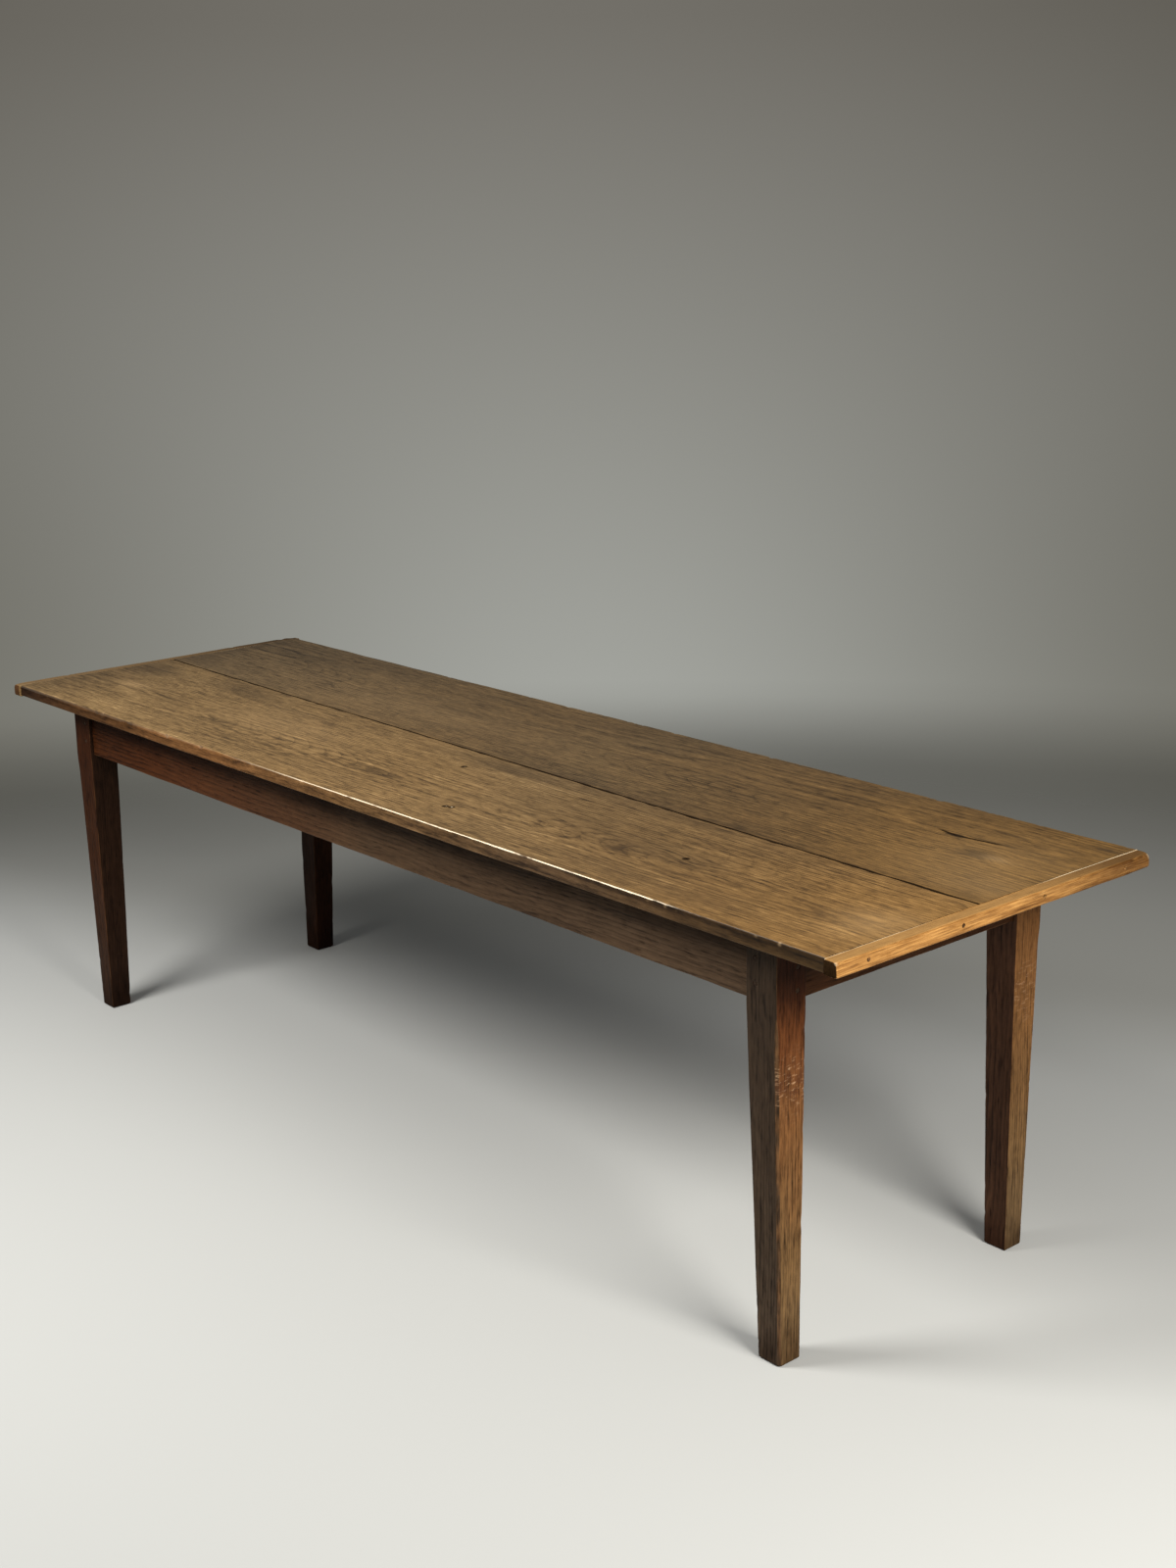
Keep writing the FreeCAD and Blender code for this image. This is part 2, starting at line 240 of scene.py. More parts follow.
def oakFields(place, wood):
    x, y, z = splitPlace(place)
    along, across, depth = ((x, y, z), (y, x, z), (z, x, y))[wood["axis"]]
    grain = place.node("ShaderNodeCombineXYZ", None, {0: along, 1: across, 2: depth})
    mix = oakMix
    level = noisesAt(grain, levelNoises, wood["seed"])
    varied = {name: field - 0.5 for name, field in noisesAt(grain, variedNoises, wood["seed"]).items()}

    # the way out from the pith line, which sways, curls and bends round knots
    gapAcross = across - wood["pith"][0] + varied["swayAcross"] * wood["sway"]
    gapDepth = depth - wood["pith"][1] + varied["swayDepth"] * wood["sway"]
    radius = (gapAcross ** 2.0 + gapDepth ** 2.0).math("SQRT")
    radius = radius + varied["curl"] * wood["curl"] + varied["ripple"] * (wood["curl"] * mix["ripple"])
    dark = varied["curl"] * mix["curlDark"]
    for middle, side, reachAlong, reachAcross, lift, darkness in wood.get("figures", ()):
        figure = bell((along, middle, reachAlong), (across, side, reachAcross))
        radius = radius + figure * lift
        if darkness:
            dark = dark + (figure ** mix["figurePower"]) * darkness
    flow = radius.node("ShaderNodeCombineXYZ", None, {0: along, 1: radius})
    inRings = noisesAt(flow, ringNoises, wood["seed"])

    # early wood with its pores, then late wood, in each ring
    saw = (radius / wood["ring"] + inRings["uneven"] * mix["unevenRings"]).math("FRACT")
    shown = level["shown"].ease(*mix["shown"]) * (1 - mix["shownLeast"]) + mix["shownLeast"]
    early = (1.0 - saw) ** mix["earlyPower"] * shown
    late = saw.ease(*mix["lateRise"]) * saw.ease(*mix["lateFall"]) * shown
    crowd = shown * 0.5 + 0.5
    for middle, side, reachAlong, reachAcross, amount in wood.get("poreSpots", ()):
        crowd = crowd + bell((along, middle, reachAlong), (across, side, reachAcross)) * amount
    pores = level["dashes"].ease(*mix["pores"]) * (early * 0.5 + 0.5) * crowd
    fine = level["fine"].ease(*mix["fine"])
    thread = inRings["thread"].ease(*mix["thread"])  # sparse dark lines that follow the rings

    lines = (inRings["streak"] - 0.5) * mix["streak"]
    for name in ("strand", "fibre", "fleck"):
        lines = lines + varied[name] * mix[name]
    # nested arches where the saw has run flat to the rings
    for tip, middle, way, curve, centre, reachAlong, reachAcross, strength in wood.get("arches", ()):
        bent = (along - tip) * way + ((across - middle) ** 2.0) * curve
        bent = bent + varied["swayAcross"] * mix["archSway"] + varied["ripple"] * mix["archRipple"]
        step = (bent / wood["archGap"] + inRings["uneven"] * mix["archUneven"]).math("FRACT")
        here = bell((along, centre, reachAlong), (across, middle, reachAcross))
        lines = lines - (1.0 - step) ** mix["archPower"] * here * strength

    rings = late * (wood["ringDepth"] * 0.5) - (early + thread * 0.5) * wood["ringDepth"]
    holes = pores * wood["poreDepth"] + fine * (wood["poreDepth"] * 0.5)
    tone = mix["middle"] + rings - holes + lines * wood["contrast"] - dark
    for name in ("mottle", "patch", "cloud"):
        tone = tone + varied[name] * mix[name]
    return dict(varied, x=x, y=y, z=z, grain=grain, early=early, pores=pores, fine=fine, place=place,
                tone=tone)


def oakMaterial(name, wood, layers=None):
    material, start, place = emptyMaterial(name)
    oak = oakFields(place, wood)
    finish = oakFinish
    grooves = oak["pores"] * finish["poreGroove"] + oak["early"] * finish["earlyGroove"]
    grooves = grooves + oak["fine"] * finish["fineGroove"]
    rough = wood["rough"] + oak["pores"] * finish["poreRough"] + oak["mottle"] * finish["mottleRough"]
    rough = rough - oak["strand"] * finish["strandShine"]
    surface = {"colour": oak["tone"].ramp(wood["tones"]), "rough": rough}
    if layers:
        layers(oak, surface)
    bump = bumped(oak["fibre"] * finish["fibreHeight"] - grooves, wood["bump"], finish["bumpDepth"])
    values = {"Base Color": surface["colour"], "Normal": bump}
    shader = principled(start, dict(values, **{
        "Roughness": surface["rough"], "Specular IOR Level": wood["gloss"], "Coat Weight": wood["wax"],
        "Coat Roughness": finish["coatRough"]}))
    if "matte" in surface:
        # dirt, painted shade and end grain without the wax's sheen
        dull = principled(start, dict(values, **{"Roughness": 1.0, "Specular IOR Level": 0.0}))
        shader = start.node("ShaderNodeMixShader", None, {0: surface["matte"], 1: shader, 2: dull})
    showShader(shader)
    return material


def facingOf(oak):
    # the three parts of the way a surface faces
    return splitPlace(oak["place"].node("ShaderNodeNewGeometry", output="Normal"))


def rampAlong(value, low, high, stops):
    # colours by a value, whose stops run from low to high
    return ((value - low) / (high - low)).ramp([((at - low) / (high - low), tone) for at, tone in stops])


def wearLine(oak, limits, seed):
    # ragged strength from 0 to 1 for rubbed edges
    return noiseAt(oak["grain"], oakFinish["wearScale"], seed, 3.0).ease(*limits)


# Mesh helpers
cornerSigns = ((1, 1), (-1, 1), (-1, -1), (1, -1))  # the order of a ring's corners


def wander(points, scale, seed):
    # smooth noise from about -1 to 1 at each point
    flat = points.reshape(-1, 3) * np.array(scale) + seed
    return np.array([noise.noise(Vector(place)) for place in flat]).reshape(points.shape[:-1])


def wave(values, length, seed):
    # the same along one line of places
    return np.array([noise.noise(Vector((value / length, seed, 0.5 * seed))) for value in values])


def uneven(size, share, values, length, seed):
    # a size that varies by a share of itself along a line of places
    return size * (1 + share * wave(values, length, seed))


def evenly(low, high, step):
    return np.linspace(low, high, int(round((high - low) / step)) + 1)


def circleOf(sides):
    return np.linspace(0, 2 * math.pi, sides + 1)[:-1]


def limitsOf(stations, lowU, lowV, highU, highV):
    # the low and the high corner of the ring at each station
    return [np.stack([np.broadcast_to(edge, stations.shape) for edge in pair], axis=-1)
            for pair in ((lowU, lowV), (highU, highV))]


def cornerRounds(sizes, stations, seed):
    # four uneven corner radii at each station
    return np.stack([uneven(sizes["edgeRound"], 0.5, stations, sizes["edgeWave"], seed + corner)
                     for corner in range(4)], axis=-1)


def roundedRings(stations, limits, radii, sides, axes, flats, arcSteps=5):
    # rounded rectangles, one per station, and the way out at each of their points
    low, high = limits
    sweep = np.linspace(0, math.pi / 2, arcSteps + 1)
    chord = np.linspace(0, 1, arcSteps + 1)[:, None]
    spots = []
    ways = []
    for corner, signs in enumerate(np.array(cornerSigns)):
        turn = sweep + corner * math.pi / 2
        way = np.stack([np.cos(turn), np.sin(turn)], axis=-1)
        straight = (1 - chord) * way[0] + chord * way[-1]
        reach = (1 - flats[corner]) * way + flats[corner] * straight
        radius = radii[:, corner, None, None]
        arc = np.where(signs > 0, high, low)[:, None] - signs * radius + radius * reach
        spots.append(arc)
        ways.append(np.broadcast_to(way, arc.shape))
    rings = []
    outs = []
    for corner in range(4):
        start = spots[corner][:, -1:]
        stop = spots[(corner + 1) % 4][:, :1]
        share = (1 - np.cos(np.linspace(0, math.pi, sides[corner] + 2)[1:-1])) / 2
        side = start + (stop - start) * share[None, :, None]
        rings += [spots[corner], side]
        outs += [ways[corner], np.broadcast_to(ways[corner][:, -1:], side.shape)]
    flatRings = np.concatenate(rings, axis=1)
    flatOuts = np.concatenate(outs, axis=1)
    points = np.zeros(flatRings.shape[:2] + (3,))
    outward = np.zeros_like(points)
    points[..., axes[0]] = stations[:, None]
    for place in (0, 1):
        points[..., axes[place + 1]] = flatRings[..., place]
        outward[..., axes[place + 1]] = flatOuts[..., place]
    return points, outward


def sink(points, outward, depth, scale, seed):
    # hand-worked faces: lower here and there, never higher
    hollow = depth * np.clip(0.5 + 0.8 * wander(points, scale, seed), 0, 1)
    return points - outward * hollow[..., None]


def worked(stations, limits, radii, sizes, axes, seed, fineStep, flats=(0, 0, 0, 0)):
    # rings with broad hollows and, where the sizes name them, fine ones
    points, outward = roundedRings(stations, limits, radii, sizes["sides"], axes, flats)
    points = sink(points, outward, sizes["hollow"], sizes["hollowScale"], seed)
    if "fineHollow" in sizes:
        points = sink(points, outward, sizes["fineHollow"], sizes["fineScale"], seed + fineStep)
    return points


def dent(points, spot, reach, push):
    weight = np.exp(-(((points - np.array(spot)) / np.array(reach)) ** 2).sum(axis=-1))
    return points + weight[..., None] * np.array(push)


def editMesh(mesh, change):
    shell = bmesh.new()
    shell.from_mesh(mesh)
    change(shell)
    shell.to_mesh(mesh)
    shell.free()


def skin(name, rings):
    # one closed mesh over a row of rings
    count, size = rings.shape[:2]
    index = np.arange(count * size).reshape(count, size)
    follow = np.roll(index, -1, axis=1)
    quads = np.stack([index[:-1], follow[:-1], follow[1:], index[1:]], axis=-1).reshape(-1, 4)
    faces = quads.tolist() + [index[0, ::-1].tolist(), index[-1].tolist()]
    mesh = bpy.data.meshes.new(name)
    mesh.from_pydata(rings.reshape(-1, 3).tolist(), [], faces)
    editMesh(mesh, lambda shell: bmesh.ops.recalc_face_normals(shell, faces=shell.faces))
    return mesh


def spike(name, start, inward, sideways, upward, angles, profile):
    # rings of the given radii at depths along the way that a peg, a nail or a hole runs
    circle = np.outer(np.cos(angles), sideways) + np.outer(np.sin(angles), upward)
    rings = [np.array(start) + np.array(inward) * depth + radius[:, None] * circle
             for depth, radius in profile]
    return skin(name, np.array(rings))


def joined(name, meshes):
    whole = bmesh.new()
    for mesh in meshes:
        whole.from_mesh(mesh)
    result = bpy.data.meshes.new(name)
    whole.to_mesh(result)
    whole.free()
    for mesh in meshes:
        bpy.data.meshes.remove(mesh)
    return result


def sceneObject(name, data):
    thing = bpy.data.objects.new(name, data)
    bpy.context.scene.collection.objects.link(thing)
    return thing


def shaped(piece, *tools):
    # the mesh that a piece's modifiers give; the piece and its tools are dropped
    result = bpy.data.meshes.new_from_object(piece.evaluated_get(bpy.context.evaluated_depsgraph_get()))
    for thing in (piece,) + tools:
        data = thing.data
        bpy.data.objects.remove(thing)
        bpy.data.meshes.remove(data)
    return result


def carve(mesh, toolMesh, operation):
    piece = sceneObject("carved", mesh)
    tool = sceneObject("tool", toolMesh)
    cut = piece.modifiers.new("cut", "BOOLEAN")
    cut.operation = operation
    cut.solver = "MANIFOLD"
    cut.object = tool
    return shaped(piece, tool)


def nodeMesh(node):
    # a welded copy of a CAD node's mesh
    shell = bmesh.new()
    shell.from_mesh(frame["nodes"][node].data)
    bmesh.ops.remove_doubles(shell, verts=shell.verts, dist=1e-6)
    copy = bpy.data.meshes.new(node + "_copy")
    shell.to_mesh(copy)
    shell.free()
    return copy


def fitted(node, points):
    # the worn outside with the node's own joints: tenons, mortises and holes stay as they are built
    return carve(skin(node, points), nodeMesh(node), "INTERSECT")


def smoothShading(mesh, limit):
    # smooth faces with crisp edges past the limit, free of the normals that a node's copy brings along
    kept = mesh.attributes.get("custom_normal")
    if kept:
        mesh.attributes.remove(kept)

    def mark(shell):
        for face in shell.faces:
            face.smooth = True
        for edge in shell.edges:
            edge.smooth = edge.calc_face_angle(0.0) < limit

    editMesh(mesh, mark)


def addPiece(name, mesh, node, material, sharp=38.0):
    mesh.materials.clear()
    mesh.materials.append(material)
    mesh.polygons.foreach_set("material_index", [0] * len(mesh.polygons))
    smoothShading(mesh, math.radians(sharp))
    mesh.name = name
    piece = sceneObject(name, mesh)
    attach(piece, "root")
    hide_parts(node)


# The two planks of the top
topSurface = cadBox[1].z
plankSizes = {
    "step": 0.005, "spare": 0.002, "sides": (44, 5, 14, 5), "hollow": 0.0007,
    "hollowScale": (3.0, 9.0, 9.0), "fineHollow": 0.0004, "fineScale": (9.0, 60.0, 60.0),
    "edgeWander": 0.0012, "edgeRound": 0.0030, "leftRound": 0.0085, "leftEnd": -0.50, "leftRun": 0.09,
    "underRound": 0.0016, "seamRound": 0.0013, "seamUnder": 0.0006, "seamWander": 0.0009,
    "seamLeft": 0.020, "seamRight": -0.031, "seamGap": 0.003, "seamChips": 44,
    "chipDepth": (0.0003, 0.0010), "chipLength": (0.006, 0.03), "chipWidth": 0.004, "endX": 1.253,
    # nicks in the long edges: place, reach and depth
    "frontNicks": ((-0.895, 0.005, 0.0035), (-0.873, 0.006, 0.0035), (-0.597, 0.006, 0.004),
                   (-0.465, 0.005, 0.0035), (0.875, 0.010, 0.0013), (0.915, 0.006, 0.0015),
                   (0.942, 0.008, 0.0013), (1.112, 0.006, 0.0010), (1.162, 0.007, 0.0010),
                   (0.30, 0.005, 0.0012), (-0.10, 0.007, 0.0012)),
    "rearNicks": ((-0.62, 0.006, 0.0025), (-0.2, 0.008, 0.002), (0.41, 0.005, 0.003),
                  (0.83, 0.007, 0.002)),
    "smallNicks": 46, "smallReach": (0.002, 0.006), "smallDepth": (0.0005, 0.0016), "nickWidth": 0.006,
    "crack": ((0.952, 0.2375), (0.972, 0.2345), (0.994, 0.2300), (1.020, 0.2330), (1.050, 0.2355),
              (1.088, 0.2405)),
    "crackSteps": 41, "crackWidth": 0.0046, "crackDepth": 0.008, "crackRise": 0.0006,
    "crackWander": 0.0012,
    "nailHoles": ((0.236, -0.292), (0.249, -0.288), (0.770, -0.197), (0.040, -0.095)), "holeSides": 10,
    "holeRadius": 0.0030, "holeJitter": (0.75, 1.15), "holeSeed": 5,
    "holeProfile": ((-0.002, 1.25), (0.0006, 1.1), (0.002, 0.9), (0.009, 0.6)),
}


def seamAt(x):
    sizes = plankSizes
    share = (x + sizes["endX"]) / (2 * sizes["endX"])
    return sizes["seamLeft"] + share * (sizes["seamRight"] - sizes["seamLeft"])


def crackTool():
    # a thin wedge along the crack, widest in the middle
    sizes = plankSizes
    path = np.array(sizes["crack"])
    shares = np.linspace(0, 1, sizes["crackSteps"])
    lengthShares = np.linspace(0, 1, len(path))
    x = np.interp(shares, lengthShares, path[:, 0])
    y = np.interp(shares, lengthShares, path[:, 1]) + sizes["crackWander"] * wave(x, 0.009, 4.0)
    swell = np.sin(math.pi * shares)
    half = uneven(sizes["crackWidth"] / 2 * (0.06 + swell ** 0.7), 0.5, x, 0.012, 8.0)
    rise = sizes["crackRise"]
    deep = topSurface + rise - (sizes["crackDepth"] + rise) * swell ** 0.8
    high = np.full_like(x, topSurface + sizes["spare"])
    corners = ((x, y + half, high), (x, y, deep), (x, y - half, high))
    return skin("crack", np.stack([np.stack(corner, axis=-1) for corner in corners], axis=1))


def holeTools():
    sizes = plankSizes
    random = np.random.default_rng(sizes["holeSeed"])
    angles = circleOf(sizes["holeSides"])
    tools = []
    for x, y in sizes["nailHoles"]:
        radius = sizes["holeRadius"] * random.uniform(*sizes["holeJitter"], angles.shape)
        profile = [(depth, share * radius) for depth, share in sizes["holeProfile"]]
        tools.append(spike("hole", (x, y, topSurface), (0, 0, -1), (1, 0, 0), (0, 1, 0), angles, profile))
    return tools


def plankMesh(node, side, nicks, seed):
    sizes = plankSizes
    low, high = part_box(node)
    edgeY = low.y if side < 0 else high.y
    x = evenly(low.x - sizes["spare"], high.x + sizes["spare"], sizes["step"])
    outer = edgeY - side * sizes["edgeWander"] * (0.5 + 0.6 * wave(x, 0.17, seed))
    ragged = np.clip(0.4 + wave(x, 0.045, seed + 3) + 0.7 * wave(x, 0.21, seed + 4), 0, 1.4)
    seam = seamAt(x) + side * (sizes["seamGap"] / 2 + sizes["seamWander"] * ragged)
    limits = limitsOf(x, np.minimum(outer, seam), low.z, np.maximum(outer, seam), high.z)
    # the long edge is rounder towards the left
    leftShare = 1 / (1 + np.exp((x - sizes["leftEnd"]) / sizes["leftRun"]))
    upper = sizes["edgeRound"] + (sizes["leftRound"] - sizes["edgeRound"]) * leftShare
    upper = uneven(upper, 0.35, x, 0.09, seed + 1)
    lower = uneven(sizes["underRound"], 0.4, x, 0.12, seed + 2)
    inner = uneven(sizes["seamRound"], 0.6, x, 0.03, seed + 5)
    innerLow = np.full_like(x, sizes["seamUnder"])
    radii = np.stack([inner, upper, lower, innerLow] if side < 0 else [upper, inner, innerLow, lower],
                     axis=-1)
    points = worked(x, limits, radii, sizes, (0, 1, 2), seed, 11)
    random = np.random.default_rng(int(seed))
    small = [(place, random.uniform(*sizes["smallReach"]), random.uniform(*sizes["smallDepth"]))
             for place in random.uniform(low.x, high.x, sizes["smallNicks"])]
    width = sizes["nickWidth"]
    for place, reach, depth in nicks + tuple(small):
        push = np.array((0, -side, -1)) * depth / math.sqrt(2)
        points = dent(points, (place, edgeY, high.z), (reach, width, width), push)
    width = sizes["chipWidth"]
    for place in random.uniform(low.x, high.x, sizes["seamChips"]):
        depth = random.uniform(*sizes["chipDepth"])
        reach = random.uniform(*sizes["chipLength"])
        spot = (place, seamAt(place) + side * sizes["seamGap"] / 2, high.z)
        points = dent(points, spot, (reach, width, width), (0, side * depth, -depth))
    return fitted(node, points)


def makePlanks():
    front = plankMesh("top_plank_front", -1, plankSizes["frontNicks"], 2.0)
    front = carve(front, joined("holes", holeTools()), "DIFFERENCE")
    rear = plankMesh("top_plank_rear", 1, plankSizes["rearNicks"], 7.0)
    rear = carve(rear, crackTool(), "DIFFERENCE")
    addPiece("plankFront", front, "top_plank_front",
             topMaterial("waxedTopFront", frontWood, -1))
    addPiece("plankRear", rear, "top_plank_rear", topMaterial("waxedTopRear", rearWood, 1))
    print("planks made")


topTones = ((0.0, (44, 31, 18)), (0.3, (86, 66, 40)), (0.52, (117, 92, 58)), (0.78, (141, 113, 74)),
            (1.0, (174, 143, 99)))
rearTones = ((0.0, (36, 26, 17)), (0.3, (70, 55, 36)), (0.52, (95, 76, 51)), (0.78, (117, 94, 63)),
             (1.0, (148, 122, 86)))
topWear = {
    "darkPatch": (52, 40, 27), "pale": (186, 152, 106), "seamDirtAndShade": (30, 22, 15), "paleWearAndGlint": (232, 216, 188),
    "upperEdgeShade": (200, 196, 192), "bareOak": (116, 92, 66), "nickTone": (206, 172, 130),
    "edgeTints": ((-1.25, (96, 82, 90)), (-0.8, (162, 140, 128)), (-0.4, (204, 178, 164)),
                  (0.1, (206, 196, 194)), (0.7, (180, 179, 200)), (1.25, (138, 139, 147))),
    # dark and pale patches: middle, reach along and across, amount; most are stains and worn spots, the
    # wide band across the left end darkens it, and the broad pale patches at the right end and near corner
    # are painted light
    "darkPatches": ((-1.19, -0.19, 0.10, 0.045, 0.35), (1.223, 0.342, 0.024, 0.010, 0.6),
               (-1.18, -0.08, 0.10, 0.05, 0.68), (-1.20, -0.33, 0.10, 0.10, 0.32),
               (-0.82, -0.04, 0.16, 0.035, 0.52), (0.36, -0.035, 0.62, 0.045, 0.50),
               (0.45, -0.13, 0.32, 0.06, 0.30), (0.66, -0.21, 0.26, 0.055, 0.45),
               (1.0, -0.22, 0.14, 0.08, 0.16), (0.86, -0.32, 0.40, 0.065, 0.48),
               (-0.12, -0.32, 0.16, 0.045, 0.16), (0.30, 0.33, 0.60, 0.06, 0.30),
               (0.30, 0.20, 0.48, 0.06, 0.24), (-1.0, 0.32, 0.38, 0.07, 0.30),
               (-1.20, 0.07, 0.07, 0.06, 0.30), (-1.25, 0.0, 0.05, 0.60, 0.34),
               (0.12, -0.048, 0.10, 0.025, 0.35)),
    "paleAndLitPatches": ((-1.078, -0.19, 0.05, 0.02, 0.3), (1.12, 0.167, 0.03, 0.012, 0.2),
                    (-0.48, -0.16, 0.22, 0.08, 0.16), (-0.35, 0.13, 0.40, 0.07, 0.10),
                    (1.12, 0.14, 0.14, 0.14, 0.13), (1.22, 0.04, 0.10, 0.06, 0.12),
                    (1.20, -0.22, 0.07, 0.07, 0.22)),
    "patchWobble": (0.05, 0.03), "tintSpan": (-1.3, 1.3), "tintWobble": 0.5,
    "stretchScale": (9.0, 2.0, 2.0), "stretch": (0.35, 0.65), "seamReach": (0.0040, 0.0014),
    "darkLineWobble": 0.004, "seamLeast": 0.25, "seamMore": 0.6, "steep": (0.94, 0.74),
    "insideEdge": (0.377, 0.371), "dirtAndShade": 0.92, "crackReach": (0.0052, 0.0020),
    "crackStart": (-0.012, 0.01), "crackEnd": (0.012, -0.02), "holeStain": 0.0068,
    "holeFade": (0.15, 0.55), "edgeFacing": (0.42, 0.78), "edgeWobble": 0.25, "upperBand": (0.744, 0.753),
    "upperStart": (0.5, 1.0), "paleLineFacing": (0.27, 0.47), "paleLineStart": (-0.36, 0.18),
    "paleLineEnd": (0.97, 0.85), "paleLineWobble": 0.15, "rub": 0.95, "paleLineLeast": 0.03, "paleLineBreaks": (0.30, 0.48),
    "nickReach": 0.0032, "nickY": (-0.381, 0.004), "nickZ": (0.758, 0.004), "nickBreaks": (0.35, 0.6),
    "nick": 0.42, "below": (0.7375, 0.7355), "bare": 0.35, "dryness": 0.2, "creamShine": 0.1,
    "matteFacing": (0.55, 0.85), "matteEdge": 0.7,
}
topFinish = {"axis": 0, "curl": 0.005, "bump": 0.35, "gloss": 0.35, "wax": 0.08}
# figures: middle, reach along and across, lift of the rings, darkness
# arches: tip, middle, way, curve, centre, reach along and across, strength
frontWood = dict(topFinish, **{
    "seed": 3.0, "pith": (-0.235, 0.690), "sway": 0.03, "ring": 0.0062, "contrast": 1.1,
    "tones": topTones, "ringDepth": 0.30, "poreDepth": 0.30, "rough": 0.46, "archGap": 0.055,
    "figures": ((0.58, -0.240, 0.12, 0.045, 0.014, 0.0), (0.80, -0.20, 0.05, 0.03, 0.010, 0.1),
                (0.649, -0.242, 0.05, 0.020, 0.008, 0.4), (0.384, -0.081, 0.03, 0.006, 0.003, 0.3)),
    "arches": ((-0.05, -0.236, 1.0, 42.0, -0.30, 0.30, 0.075, 0.23),
               (0.30, -0.225, -1.0, 45.0, 0.55, 0.28, 0.07, 0.22),
               (0.95, -0.15, 1.0, 30.0, 0.85, 0.25, 0.07, 0.12)),
    "poreSpots": ((0.60, -0.225, 0.17, 0.05, 1.9), (0.95, -0.20, 0.16, 0.06, 0.6),
                  (0.22, -0.25, 0.20, 0.04, 0.5)),
    "tints": ((0.0, (246, 247, 247)), (0.45, (247, 244, 237)), (0.72, (244, 243, 240)),
              (0.9, (247, 240, 226)), (1.0, (253, 238, 206))),
})
rearWood = dict(topFinish, **{
    "seed": 21.0, "pith": (0.260, 0.620), "sway": 0.04, "ring": 0.0066, "contrast": 1.0,
    "tones": rearTones, "ringDepth": 0.26, "poreDepth": 0.28, "rough": 0.48, "archGap": 0.06,
    "figures": ((-0.753, 0.136, 0.035, 0.022, 0.010, 0.25), (-0.90, 0.319, 0.03, 0.02, 0.008, 0.2),
                (0.994, 0.230, 0.024, 0.011, 0.008, 1.6), (1.09, 0.167, 0.050, 0.036, 0.020, 0.40)),
    "arches": ((0.03, 0.165, -1.0, 34.0, 0.35, 0.34, 0.07, 0.24),
               (-0.62, 0.19, 1.0, 36.0, -0.85, 0.25, 0.08, 0.20)),
    "poreSpots": ((1.05, 0.20, 0.12, 0.08, 0.6),),
    "tints": ((0.0, (246, 248, 250)), (0.4, (248, 243, 232)), (0.6, (245, 243, 236)),
              (0.85, (252, 240, 214)), (1.0, (255, 236, 190))),
})


def crackDarkening(x, y, wobble):
    # dark along both arms of the crack, fading at its ends
    wear = topWear
    (startX, startY), (kneeX, kneeY), (endX, endY) = [plankSizes["crack"][place] for place in (0, 2, -1)]
    left = (x - kneeX) * ((kneeY - startY) / (kneeX - startX)) + kneeY
    right = (x - kneeX) * ((endY - kneeY) / (endX - kneeX)) + kneeY
    gap = abs(y - left.math("MAXIMUM", right) + wobble * wear["darkLineWobble"])
    begins = (x - startX).ease(*wear["crackStart"])
    return gap.ease(*wear["crackReach"]) * begins * (x - endX).ease(*wear["crackEnd"])


